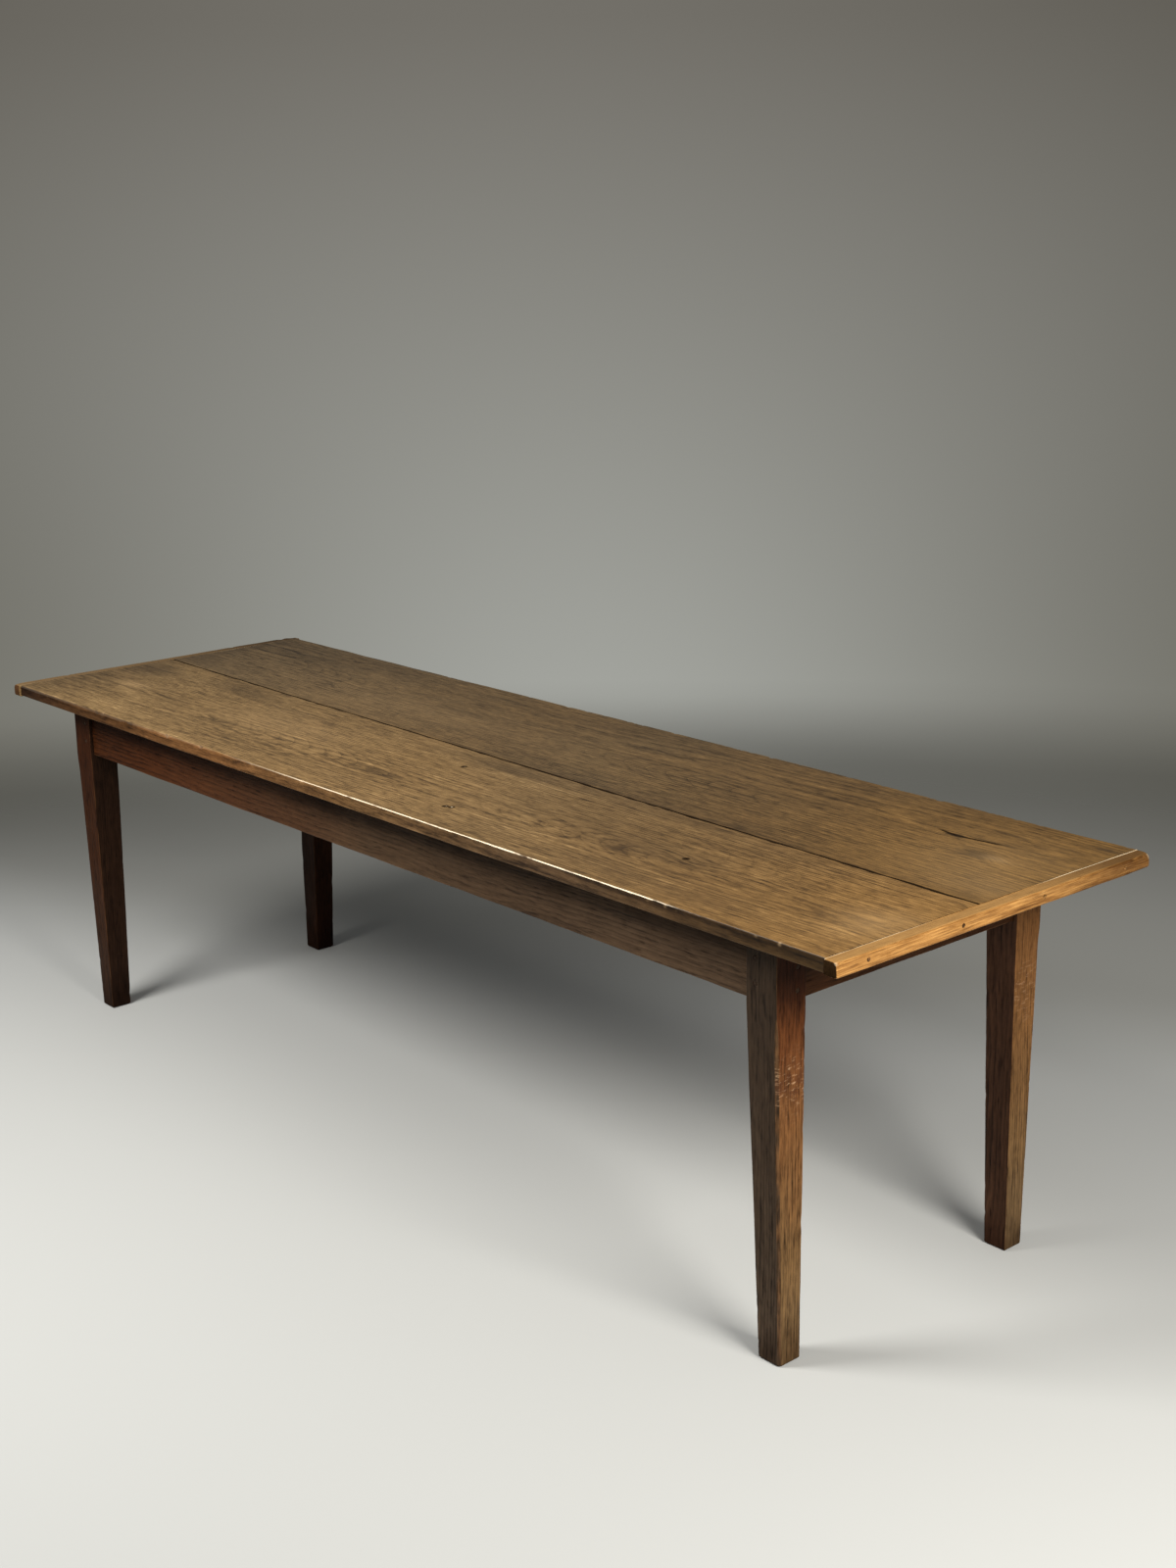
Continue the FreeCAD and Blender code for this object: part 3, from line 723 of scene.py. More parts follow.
def topMaterial(name, wood, side):
    wear = topWear

    def layers(oak, surface):
        x, y, z, mottle = [oak[key] for key in ("x", "y", "z", "mottle")]
        facing = facingOf(oak)
        outward = facing[1] * side
        # greyer at the left end, golden at the right
        share = (x + oak["cloud"] * wear["tintWobble"]).ease(*wear["tintSpan"])
        colour = surface["colour"].times(share.ramp(wood["tints"]))
        wobbleX, wobbleY = [value + mottle * wobble for value, wobble in zip((x, y), wear["patchWobble"])]
        # stains, worn spots and a darker left end, with patches of painted light at the right end and near
        # corner
        for tone, places in (("darkPatch", wear["darkPatches"]), ("pale", wear["paleAndLitPatches"])):
            for middle, across, reachX, reachY, amount in places:
                patch = bell((wobbleX, middle, reachX), (wobbleY, across, reachY))
                colour = colour.under(wear[tone], patch * amount)
        # dirt and painted shade along the seam, more in some stretches
        stretch = noiseAt(oak["grain"], wear["stretchScale"], wood["seed"] + 20.0).ease(*wear["stretch"])
        slope = (seamAt(1.0) - seamAt(-1.0)) / 2
        seamGap = abs(y - (x * slope + seamAt(0.0))) + mottle * wear["darkLineWobble"]
        dirtAndShade = seamGap.ease(*wear["seamReach"]) * (stretch * wear["seamMore"] + wear["seamLeast"])
        # and painted shade on all that faces into the seam, the crack or a hole
        steep = abs(facing[2]).ease(*wear["steep"]) * abs(y).ease(*wear["insideEdge"])
        dirtAndShade = dirtAndShade.math("MAXIMUM", steep)
        if side > 0:
            dirtAndShade = dirtAndShade.math("MAXIMUM", crackDarkening(x, y, mottle))
        else:
            for holeX, holeY in plankSizes["nailHoles"]:
                darkPatch = bell((x, holeX, wear["holeStain"]), (y, holeY, wear["holeStain"]))
                dirtAndShade = dirtAndShade.math("MAXIMUM", darkPatch.ease(*wear["holeFade"]))
        colour = colour.under(wear["seamDirtAndShade"], dirtAndShade * wear["dirtAndShade"])
        # the long edge is darker, redder at the left, with painted shade on its upper band; its upper
        # corner is rubbed pale and carries a painted highlight
        half = plankSizes["endX"]
        edge = outward.ease(*wear["edgeFacing"])
        edgeTint = rampAlong(x + mottle * wear["edgeWobble"], -half, half, wear["edgeTints"])
        colour = colour.times(edgeTint, edge)
        upper = z.ease(*wear["upperBand"]) * edge * x.ease(*wear["upperStart"])
        colour = colour.times(wear["upperEdgeShade"], upper)
        wobbleX = x + mottle * wear["paleLineWobble"]
        rub = wobbleX.ease(*wear["paleLineStart"]) * wobbleX.ease(*wear["paleLineEnd"])
        rub = rub * wear["rub"] + wear["paleLineLeast"]
        paleWearAndGlint = outward.ease(*wear["paleLineFacing"]) * facing[2].ease(*wear["paleLineFacing"]) * rub
        paleWearAndGlint = paleWearAndGlint * wearLine(oak, wear["paleLineBreaks"], wood["seed"])
        colour = colour.under(wear["paleWearAndGlint"], paleWearAndGlint)
        broken = wearLine(oak, wear["nickBreaks"], wood["seed"] + 1.0) * wear["nick"]
        for row in plankSizes["frontNicks"]:
            nick = bell((x, row[0], wear["nickReach"]), (y, *wear["nickY"]), (z, *wear["nickZ"]))
            colour = colour.under(wear["nickTone"], nick * broken)
        # the underside was never stained
        below = z.ease(*wear["below"])
        surface["colour"] = colour.under(wear["bareOak"], below * wear["bare"])
        surface["rough"] = surface["rough"] + (dirtAndShade + below) * wear["dryness"] - paleWearAndGlint * wear["creamShine"]
        surface["matte"] = dirtAndShade.math("MAXIMUM", outward.ease(*wear["matteFacing"]) * wear["matteEdge"])

    return oakMaterial(name, wood, layers)


# The cleats across the ends
cleatSizes = {
    "step": 0.004, "endZone": 0.012, "endStep": 0.0008, "spare": 0.0004, "inward": 0.0002,
    "sides": (8, 8, 8, 8), "hollow": 0.0008, "hollowScale": (14.0, 5.0, 14.0), "fineHollow": 0.0004,
    "fineScale": (70.0, 16.0, 90.0), "outerRound": 0.0040, "innerRound": 0.0005, "endRound": 0.006,
    "endShare": 0.45,
    "nicks": ((-0.384, 0.010, 0.0022), (0.380, 0.012, 0.0055), (0.345, 0.008, 0.0025),
              (0.20, 0.006, 0.0015), (-0.25, 0.005, 0.0015)),
    "nickWidth": 0.008,
}
cleatWood = {
    "axis": 1, "pith": (1.10, 0.71), "sway": 0.03, "curl": 0.006, "ring": 0.0042, "contrast": 0.75,
    "ringDepth": 0.28, "poreDepth": 0.36, "rough": 0.46, "bump": 0.4, "gloss": 0.15, "wax": 0.02,
    "streak": (84, 54, 25), "farShade": (168, 162, 156), "gleam": (204, 154, 88), "paleWearAndGlint": (232, 212, 176),
    "flat": (0.7, 0.95), "flatAmount": 0.65, "outer": (0.5, 0.8), "outerAmount": 0.3,
    "lineScale": (15.0, 420.0, 430.0), "streakLines": (0.52, 0.68), "streakAmount": 0.55,
    "gleamLines": (0.48, 0.30), "gleamAmount": 0.42, "far": (0.0, 0.34), "farShadeWobble": 0.2,
    "jointZ": (0.7570, 0.7590), "jointX": (1.2562, 1.2545), "jointWobble": 0.06,
    "jointBreaks": (0.2, 0.45), "nearRubAndGlint": (-0.13, -0.24), "nearAmount": 0.36, "farRubAndGlint": (0.09, 0.18),
    "farAmount": 0.68, "ends": (0.45, 0.75), "endAmount": 0.95, "endDryness": 0.2,
    "cornerY": (0.379, 0.385), "cornerFacing": (0.15, 0.35), "cornerBreaks": (0.4, 0.6),
    "cornerAmount": 0.25,
}
leftCleat = dict(cleatWood, seed=34.0, tones=topTones, outerFace=(112, 84, 54), endGrain=(66, 44, 28),
                 topTone=(104, 82, 55), jointRubAndGlint=0.3)
rightTones = ((0.0, (56, 35, 17)), (0.3, (98, 68, 35)), (0.52, (133, 95, 50)), (0.8, (168, 126, 72)),
              (1.0, (206, 166, 106)))
rightCleat = dict(cleatWood, seed=48.0, tones=rightTones, outerFace=(148, 98, 46), endGrain=(22, 15, 10),
                  topTone=(138, 105, 62), jointRubAndGlint=1.0)


def cleatMaterial(name, wood, side):
    def layers(oak, surface):
        x, y, z, mottle = oak["x"] * side, oak["y"], oak["z"], oak["mottle"]
        facing = facingOf(oak)
        outward = facing[0] * side
        outer = outward.ease(*wood["outer"])
        flat = facing[2].ease(*wood["flat"])
        colour = surface["colour"].under(wood["topTone"], flat * wood["flatAmount"])
        colour = colour.under(wood["outerFace"], outer * wood["outerAmount"])
        lines = noiseAt(oak["grain"], wood["lineScale"], wood["seed"] + 30.0)
        for tone in ("streak", "gleam"):
            shown = lines.ease(*wood[tone + "Lines"]) * outer
            colour = colour.under(wood[tone], shown * wood[tone + "Amount"])
        # painted shade: the far end of the cleat is darker
        colour = colour.times(wood["farShade"], (y + mottle * wood["farShadeWobble"]).ease(*wood["far"]))
        # the inner corner stands a hair proud of the planks and is rubbed pale towards the ends, with a
        # painted highlight where it catches the light
        wobbleY = y + mottle * wood["jointWobble"]
        rub = wobbleY.ease(*wood["nearRubAndGlint"]) * wood["nearAmount"]
        rub = rub + wobbleY.ease(*wood["farRubAndGlint"]) * wood["farAmount"]
        joint = z.ease(*wood["jointZ"]) * x.ease(*wood["jointX"]) * rub * wood["jointRubAndGlint"]
        colour = colour.under(wood["paleWearAndGlint"], joint * wearLine(oak, wood["jointBreaks"], wood["seed"]))
        ends = abs(facing[1]).ease(*wood["ends"])
        colour = colour.under(wood["endGrain"], ends * wood["endAmount"])
        # the outer top corner near the ends: a painted highlight over a little wear
        corner = outward.ease(*wood["cornerFacing"]) * facing[2].ease(*wood["cornerFacing"])
        corner = corner * wearLine(oak, wood["cornerBreaks"], wood["seed"] + 3.0)
        corner = corner * abs(y).ease(*wood["cornerY"])
        corner = corner * (wood["jointRubAndGlint"] * wood["cornerAmount"])
        surface["colour"] = colour.under(wood["paleWearAndGlint"], corner)
        surface["rough"] = surface["rough"] + ends * wood["endDryness"]
        surface["matte"] = ends

    return oakMaterial(name, wood, layers)


def cleatMesh(node, side, seed):
    sizes = cleatSizes
    low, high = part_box(node)
    first, last = low.y + sizes["endZone"], high.y - sizes["endZone"]
    y = np.unique(np.concatenate([evenly(low.y + sizes["spare"], first, sizes["endStep"]),
                                  evenly(first, last, sizes["step"]),
                                  evenly(last, high.y - sizes["spare"], sizes["endStep"])]))
    # the ends are rounded over on the outer side
    endGap = np.minimum(y - low.y, high.y - y) - sizes["spare"]
    toEnd = np.clip(1 - endGap / sizes["endRound"], 0, 1)
    draw = sizes["endRound"] * sizes["endShare"] * (1 - np.sqrt(np.clip(1 - toEnd ** 2, 0, 1)))
    inward = sizes["inward"]
    limits = limitsOf(y, low.x + draw * (side < 0) + inward, low.z + draw + inward,
                      high.x - draw * (side > 0) - inward, high.z - draw - inward)
    outer = uneven(sizes["outerRound"], 0.4, y, 0.06, seed)
    outerLow = uneven(sizes["outerRound"], 0.4, y, 0.07, seed + 1)
    inner = uneven(sizes["innerRound"], 0.5, y, 0.03, seed + 2)
    radii = np.stack([outer, inner, inner, outerLow] if side > 0 else [inner, outer, outerLow, inner],
                     axis=-1)
    points = worked(y, limits, radii, sizes, (1, 0, 2), seed, 5)
    edgeX = high.x if side > 0 else low.x
    width = sizes["nickWidth"]
    for place, reach, depth in sizes["nicks"]:
        push = np.array((-side, 0, -1)) * depth / math.sqrt(2)
        points = dent(points, (edgeX, place, high.z), (width, reach, width), push)
    return fitted(node, points)


def makeCleats():
    for name, side, seed, wood in (("Left", -1, 31.0, leftCleat), ("Right", 1, 33.0, rightCleat)):
        node = "end_cleat_" + name.lower()
        mesh = cleatMesh(node, side, seed)
        addPiece("cleat" + name, mesh, node, cleatMaterial("waxedCleat" + name, wood, side))
    print("cleats made")


# The legs
legSizes = {
    "step": 0.005, "footZone": 0.010, "footStep": 0.001, "spare": 0.001, "sides": (7, 7, 7, 7),
    "hollow": 0.0004, "hollowScale": (18.0, 18.0, 5.0), "fineHollow": 0.0002,
    "fineScale": (80.0, 80.0, 14.0), "blockZ": 0.613, "block": 0.066, "foot": 0.0475, "sideDraw": 0.015,
    "chamfer": 0.0045, "chamferTop": 0.588, "chamferRun": 0.006, "chamferFlat": 0.85, "edgeRound": 0.0016,
    "edgeWave": 0.05, "footRound": 0.004, "footShare": 0.9, "dents": 18, "dentHeight": (0.02, 0.58),
    "dentWidth": 0.006, "dentLength": (0.003, 0.012), "dentDepth": (0.0003, 0.0012),
}
legWood = {
    "axis": 2, "pithShift": (-0.05, 0.09), "sway": 0.05, "curl": 0.005, "ring": 0.0045, "contrast": 0.9,
    "ringDepth": 0.24, "poreDepth": 0.36, "rough": 0.55, "bump": 0.45, "gloss": 0.07, "wax": 0.0,
    "tones": ((0.0, (66, 60, 56)), (0.3, (140, 135, 131)), (0.52, (188, 184, 180)),
              (0.78, (222, 219, 215)), (1.0, (255, 254, 252))),
    # the ramps darken towards the top; the red end's steep fall to 0.65 is painted shade under the
    # overhang
    "redEnd": ((0.0, (122, 99, 69)), (0.20, (133, 102, 65)), (0.40, (135, 93, 55)), (0.50, (124, 81, 47)),
               (0.58, (109, 65, 35)), (0.65, (68, 37, 19))),
    "brownEnd": ((0.0, (117, 96, 69)), (0.20, (129, 100, 65)), (0.45, (130, 92, 54)),
                 (0.67, (113, 76, 43))),
    "greySide": ((0.0, (92, 76, 61)), (0.30, (77, 62, 48)), (0.66, (69, 55, 42))),
    "rearSide": ((0.0, (142, 111, 86)), (0.35, (142, 100, 77)), (0.66, (116, 78, 57))),
    "redSide": ((0.0, (60, 40, 26)), (0.35, (66, 36, 16)), (0.66, (62, 32, 14))),
    # each leg's end face, long face, inner faces (darkened with painted shade) and scuffing
    "faces": {"FrontRight": ("redEnd", "greySide", (54, 37, 25), 0.28),
              "RearRight": ("brownEnd", "rearSide", (80, 54, 38), 0.1),
              "FrontLeft": ("brownEnd", "redSide", (54, 35, 23), 0.1),
              "RearLeft": ("brownEnd", "redSide", (60, 34, 18), 0.1)},
    "endFacing": (0.35, 0.65), "longFacing": (0.45, 0.66), "wobble": (0.12, 0.08),
    "rubbed": (196, 140, 86), "cornerFacing": (0.40, 0.60), "cornerBreaks": (0.30, 0.70), "rub": 0.3,
    "scuff": (226, 186, 146), "scuffScale": (260.0, 90.0, 90.0), "scuffs": (0.54, 0.68),
    "band": (0.49, 0.045), "bruise": (62, 34, 20), "bruiseScale": (70.0, 55.0, 55.0),
    "bruises": (0.50, 0.62), "bruiseShare": 2.0, "grime": (150, 128, 112), "foot": (0.10, 0.0),
    "footWobble": 0.15, "footAmount": 0.6, "dryness": 0.2,
}


def legMesh(node, sideX, sideY, seed):
    sizes = legSizes
    low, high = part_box(node)
    z = np.unique(np.concatenate([evenly(-sizes["spare"], sizes["footZone"], sizes["footStep"]),
                                  evenly(sizes["footZone"], high.z + sizes["spare"], sizes["step"])]))
    draw = np.clip((sizes["blockZ"] - z) / sizes["blockZ"], 0, 1)
    width = sizes["block"] - draw * (sizes["block"] - sizes["foot"])
    toFloor = np.clip(1 - z / sizes["footRound"], 0, 1)
    ease = sizes["footRound"] * sizes["footShare"] * toFloor ** 2
    outerX = max(abs(low.x), abs(high.x))
    outerY = max(abs(low.y), abs(high.y)) - draw * sizes["sideDraw"]
    spans = [np.sort([side * (outer - width + ease), side * (outer - ease)], axis=0)
             for side, outer in ((sideX, outerX), (sideY, outerY))]
    (lowX, highX), (lowY, highY) = spans
    limits = limitsOf(z, lowX, lowY, highX, highY)
    # the outer corner is chamfered up to a stop below the block
    radii = cornerRounds(sizes, z, seed)
    outerCorner = cornerSigns.index((sideX, sideY))
    stop = 1 / (1 + np.exp((z - sizes["chamferTop"]) / sizes["chamferRun"]))
    chamfer = uneven(sizes["chamfer"], 0.10, z, 0.08, seed + 9)
    radii[:, outerCorner] = radii[:, outerCorner] + (chamfer - radii[:, outerCorner]) * stop
    flats = [sizes["chamferFlat"] if corner == outerCorner else 0 for corner in range(4)]
    points = worked(z, limits, radii, sizes, (2, 0, 1), seed, 4, flats)
    random = np.random.default_rng(int(seed))
    for count in range(sizes["dents"]):
        height = random.uniform(*sizes["dentHeight"])
        signX, signY = cornerSigns[random.integers(0, 4)]
        row = int(np.argmin(abs(z - height)))
        spot = ((highX if signX > 0 else lowX)[row], (highY if signY > 0 else lowY)[row], height)
        reach = (sizes["dentWidth"], sizes["dentWidth"], random.uniform(*sizes["dentLength"]))
        push = np.array((-signX, -signY, 0)) / math.sqrt(2) * random.uniform(*sizes["dentDepth"])
        points = dent(points, spot, reach, push)
    return fitted(node, points)


def legMaterial(name, node, sideX, sideY, seed):
    low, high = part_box(node)
    middle = (low + high) / 2
    shiftX, shiftY = legWood["pithShift"]
    wood = dict(legWood, seed=seed, pith=(middle.x + shiftX * sideX, middle.y + shiftY * sideY))
    endName, longName, innerShadeTone, scuffing = wood["faces"][name]

    def layers(oak, surface):
        z, mottle = oak["z"], oak["mottle"]
        facing = facingOf(oak)
        wobbleZ = z + mottle * wood["wobble"][0] + oak["strand"] * wood["wobble"][1]
        # each side has its own tint: the ends warm, the long sides grey or red, the inner ones dark with
        # painted shade where they stand under the table
        endFace = (facing[0] * sideX).ease(*wood["endFacing"])
        longFace = (facing[1] * sideY).ease(*wood["longFacing"])
        tint = rampAlong(wobbleZ, 0.0, high.z, wood[endName]).under(innerShadeTone, 1.0 - endFace)
        tint = tint.under(rampAlong(wobbleZ, 0.0, high.z, wood[longName]), longFace)
        # the corners are rubbed pale: wear, and a painted highlight along the edge
        corner = abs(facing[0]).ease(*wood["cornerFacing"]) * abs(facing[1]).ease(*wood["cornerFacing"])
        rub = corner * wearLine(oak, wood["cornerBreaks"], seed + 1.0) * wood["rub"]
        colour = surface["colour"].times(tint.under(wood["rubbed"], rub))
        # pale scuffs and dark bruises at knee height
        band = bell((wobbleZ, *wood["band"])) * endFace * scuffing
        scuff = noiseAt(oak["grain"], wood["scuffScale"], seed + 2.0, 3.0).ease(*wood["scuffs"]) * band
        colour = colour.under(wood["scuff"], scuff)
        bruise = noiseAt(oak["grain"], wood["bruiseScale"], seed + 5.0, 3.0).ease(*wood["bruises"]) * band
        colour = colour.under(wood["bruise"], bruise * wood["bruiseShare"])
        # dirt in the pores towards the foot
        foot = (z + mottle * wood["footWobble"]).ease(*wood["foot"])
        surface["colour"] = colour.times(wood["grime"], foot * wood["footAmount"])
        surface["rough"] = surface["rough"] + (foot + scuff) * wood["dryness"]

    return oakMaterial("waxedLeg" + name, wood, layers)


def makeLegs():
    seed = 61.0
    for depthName, sideY in (("front", -1), ("rear", 1)):
        for endName, sideX in (("left", -1), ("right", 1)):
            seed += 6.0
            node = "leg_" + depthName + "_" + endName
            name = depthName.capitalize() + endName.capitalize()
            mesh = legMesh(node, sideX, sideY, seed)
            addPiece("leg" + name, mesh, node, legMaterial(name, node, sideX, sideY, seed))
    print("legs made")


# The aprons between the legs
apronSizes = {
    "step": 0.008, "spare": 0.001, "inward": 0.0002, "sides": (5, 12, 5, 12), "edgeRound": 0.0024,
    "edgeWave": 0.08, "hollow": 0.0008, "alongScale": 5.0, "acrossScale": 18.0, "upScale": 12.0,
    "fineHollow": 0.0003, "fineShare": 5,
}
apronWood = {
    "sway": 0.05, "curl": 0.006, "ring": 0.0048, "contrast": 0.6, "ringDepth": 0.24, "poreDepth": 0.34,
    "rough": 0.55, "bump": 0.4, "gloss": 0.07, "wax": 0.0, "tones": legWood["tones"], "pithGap": 0.10,
    "pithZ": 0.60, "tints": ((0.0, (82, 45, 21)), (0.5, (87, 67, 48)), (1.0, (98, 78, 59))),
    "tintSpan": (-0.9, 1.1), "tintWobble": 0.6, "endShade": (185, 152, 124), "bareOak": (150, 116, 80),
    "inside": (-0.022, -0.0236), "bare": 0.8, "grime": (120, 104, 92), "grimeZ": (0.66, 0.735),
    "grimeWobble": 0.06, "rubbed": (158, 116, 78), "rubZ": (0.6245, 0.6215), "paleLineBreaks": (0.4, 0.65),
    "rub": 0.3, "insideDryness": 0.15, "grimeDryness": 0.1,
}


def railMesh(node, axis, sizes, seed):
    # a straight rail with eased edges and hand-planed faces
    low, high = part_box(node)
    cross = 1 - axis
    inward, spare = sizes["inward"], sizes["spare"]
    stations = evenly(low[axis] - spare, high[axis] + spare, sizes["step"])
    limits = limitsOf(stations, low[cross] + inward, low.z + inward, high[cross] - inward, high.z + spare)
    scale = [sizes["acrossScale"], sizes["acrossScale"], sizes["upScale"]]
    scale[axis] = sizes["alongScale"]
    fineScale = [sizes.get("fineShare", 1) * share for share in scale]
    sizes = dict(sizes, hollowScale=scale, fineScale=fineScale)
    radii = cornerRounds(sizes, stations, seed)
    return fitted(node, worked(stations, limits, radii, sizes, (axis, cross, 2), seed, 4))


def apronMaterial(name, axis, side, seed):
    reach = abs(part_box("apron_front" if axis == 0 else "apron_left")[0][1 - axis])
    pith = (side * (reach + apronWood["pithGap"]), apronWood["pithZ"])
    wood = dict(apronWood, axis=axis, seed=seed, pith=pith)

    def layers(oak, surface):
        x, y, z = oak["x"], oak["y"], oak["z"]
        tint = (x + oak["cloud"] * wood["tintWobble"]).ease(*wood["tintSpan"]).ramp(wood["tints"])
        if axis == 1:
            tint = tint.times(wood["endShade"])
        # the inner face was never stained
        inside = ((y if axis == 0 else x) * side - reach).ease(*wood["inside"])
        colour = surface["colour"].times(tint.under(wood["bareOak"], inside * wood["bare"]))
        grime = (z + oak["mottle"] * wood["grimeWobble"]).ease(*wood["grimeZ"])
        colour = colour.times(wood["grime"], grime)
        lowEdge = z.ease(*wood["rubZ"]) * wearLine(oak, wood["paleLineBreaks"], seed + 1.0)
        surface["colour"] = colour.under(wood["rubbed"], lowEdge * wood["rub"])
        dryness = inside * wood["insideDryness"] + grime * wood["grimeDryness"]
        surface["rough"] = surface["rough"] + dryness

    return oakMaterial(name, wood, layers)


def makeAprons():
    for name, axis, side, seed in (("front", 0, -1, 91.0), ("rear", 0, 1, 97.0),
                                   ("left", 1, -1, 103.0), ("right", 1, 1, 109.0)):
        node = "apron_" + name
        mesh = railMesh(node, axis, apronSizes, seed)
        material = apronMaterial("waxedApron" + name.capitalize(), axis, side, seed)
        addPiece("apron" + name.capitalize(), mesh, node, material)
    print("aprons made")


def headsOf(node, axis, side):
    # the middle of the outer end of each loose solid in a CAD node
    shell = bmesh.new()
    mesh = nodeMesh(node)
    shell.from_mesh(mesh)
    bpy.data.meshes.remove(mesh)
    waiting = set(shell.verts)
    boxes = []
    while waiting:
        group = [waiting.pop()]
        for vert in group:
            for edge in vert.link_edges:
                other = edge.other_vert(vert)
                if other in waiting:
                    waiting.remove(other)
                    group.append(other)
        places = np.array([vert.co for vert in group])
        boxes.append((Vector(places.min(axis=0)), Vector(places.max(axis=0))))
    shell.free()
    heads = []
    for low, high in sorted(boxes, key=lambda box: tuple(box[0])):
        head = (low + high) / 2
        head[axis] = (high if side > 0 else low)[axis]
        heads.append(head)
    return heads


# The pegs through the tenons: whittled, with many flats, a little proud of the worn legs
pegSizes = {
    "flats": 9, "radius": 0.0045, "jitter": 0.05, "sharp": 20.0,
    "profile": ((0.0, 0.45), (0.000225, 0.8), (0.0009, 0.985), (0.004, 1.0), (0.0315, 1.0),
                (0.0375, 0.6)),
}
pegWood = {
    "seed": 130.0, "pith": (0.0, 0.0), "sway": 0.02, "curl": 0.004, "ring": 0.0016, "contrast": 1.0,
    "tones": ((0.0, (22, 14, 9)), (0.35, (40, 28, 19)), (0.6, (54, 39, 27)), (1.0, (78, 58, 41))),
    "ringDepth": 0.25, "poreDepth": 0.4, "rough": 0.55, "bump": 0.4, "gloss": 0.1, "wax": 0.0,
}


def pegMesh(start, inward, seed):
    sizes = pegSizes
    random = np.random.default_rng(seed)
    angles = circleOf(sizes["flats"]) + random.uniform(0, 1)
    radius = sizes["radius"] * (1 - sizes["jitter"] * random.uniform(0, 1, angles.shape))
    profile = [(depth, share * radius) for depth, share in sizes["profile"]]
    upward = Vector((0, 0, 1))
    return spike("peg", start, inward, upward.cross(inward), upward, angles, profile)


def makePegs():
    for name, axis, side in (("front", 1, -1), ("rear", 1, 1), ("left", 0, -1), ("right", 0, 1)):
        node = "tenon_pegs_" + name
        inward = Vector((-side, 0, 0)) if axis == 0 else Vector((0, -side, 0))
        pegs = [pegMesh(start, inward, 200 + place + 10 * axis + 5 * side)
                for place, start in enumerate(headsOf(node, axis, side))]
        material = oakMaterial("pegEnds" + name.capitalize(), dict(pegWood, axis=axis))
        addPiece("pegs" + name.capitalize(), joined(node, pegs), node, material,
                 pegSizes["sharp"])
    print("pegs made")


# The forged nails through the cleats
nailSizes = {
    "sides": 12, "headRadius": 0.0045, "shankRadius": 0.00192, "jitter": 0.10, "sharp": 25.0,
    "head": ((0.0003, 0.35), (0.0005, 0.7), (0.0009, 0.93), (0.0012, 0.75)),
    "shank": ((0.0025, 1.0), (0.048, 1.0), (0.0615, 0.12)),
}
ironLook = {
    "tones": ((0.25, (76, 52, 32)), (0.75, (108, 77, 46))), "scale": (900.0, 900.0, 900.0),
    "finish": (3.0, 3.0), "patchScale": (260.0, 260.0, 260.0), "patchFinish": (8.0, 2.0),
    "patch": (140, 94, 50), "patches": (0.5, 0.68), "patchAmount": 0.7, "bright": (0.7, 0.4),
    "metal": 0.8, "rough": 0.66, "roughShare": 0.2, "bump": 0.6, "bumpDepth": 0.0005,
    "waxed": (150, 108, 60), "waxFrom": (-0.06, 0.06), "wax": 0.7,
}


def metalMaterial(name, look):
    # two tones with patches of rust or tarnish, on which the metal is dull
    material, start, place = emptyMaterial(name)
    pits = noiseAt(place, look["scale"], *look["finish"])
    patches = noiseAt(place, look["patchScale"], *look["patchFinish"])
    colour = pits.ramp(look["tones"])
    colour = colour.under(look["patch"], patches.ease(*look["patches"]) * look["patchAmount"])
    rough = patches
    if "waxed" in look:
        colour = colour.under(look["waxed"], splitPlace(place)[1].ease(*look["waxFrom"]) * look["wax"])
        rough = pits
    showShader(principled(start, {
        "Base Color": colour, "Metallic": patches.ease(*look["bright"]) * look["metal"],
        "Roughness": look["rough"] + rough * look["roughShare"],
        "Normal": bumped(pits, look["bump"], look["bumpDepth"])}))
    return material


def nailMesh(start, side, seed):
    sizes = nailSizes
    random = np.random.default_rng(seed)
    angles = circleOf(sizes["sides"])
    head = sizes["headRadius"] * (1 - sizes["jitter"] * random.uniform(0, 1, angles.shape))
    shank = np.full_like(angles, sizes["shankRadius"])
    profile = [(depth, head * share) for depth, share in sizes["head"]]
    profile += [(depth, shank * share) for depth, share in sizes["shank"]]
    return spike("nail", start, (-side, 0, 0), (0, 1, 0), (0, 0, 1), angles, profile)


def makeNails():
    material = metalMaterial("forgedIron", ironLook)
    for name, side in (("left", -1), ("right", 1)):
        node = "cleat_nails_" + name
        nails = [nailMesh(start, side, 300 + place + 10 * side)
                 for place, start in enumerate(headsOf(node, 0, side))]
        addPiece("nails" + name.capitalize(), joined(node, nails), node, material,
                 nailSizes["sharp"])
    print("nails made")


# What lies under the top: bearers, buttons, keys and screws
bearerSizes = {
    "step": 0.008, "spare": 0.001, "inward": 0.0002, "sides": (7, 5, 7, 5), "edgeRound": 0.002,
    "edgeWave": 0.06, "hollow": 0.0008, "alongScale": 5.0, "acrossScale": 18.0, "upScale": 14.0,
}
buttonSizes = {"ease": 0.0009, "easeSteps": 3, "easeAngle": 50.0, "flatAngle": 1.0}
innerWood = {
    "pith": (0.0, 0.62), "sway": 0.04, "curl": 0.006, "ring": 0.0046, "contrast": 1.0, "ringDepth": 0.26,
    "poreDepth": 0.36, "rough": 0.62, "bump": 0.5, "gloss": 0.25, "wax": 0.0,
    "tones": ((0.0, (58, 42, 28)), (0.3, (104, 80, 55)), (0.52, (138, 109, 77)), (0.8, (162, 131, 95)),
              (1.0, (186, 156, 118))),
    "dust": (92, 78, 62), "dustScale": (14.0, 14.0, 14.0), "dusty": (0.45, 0.7), "dustAmount": 0.35,
}
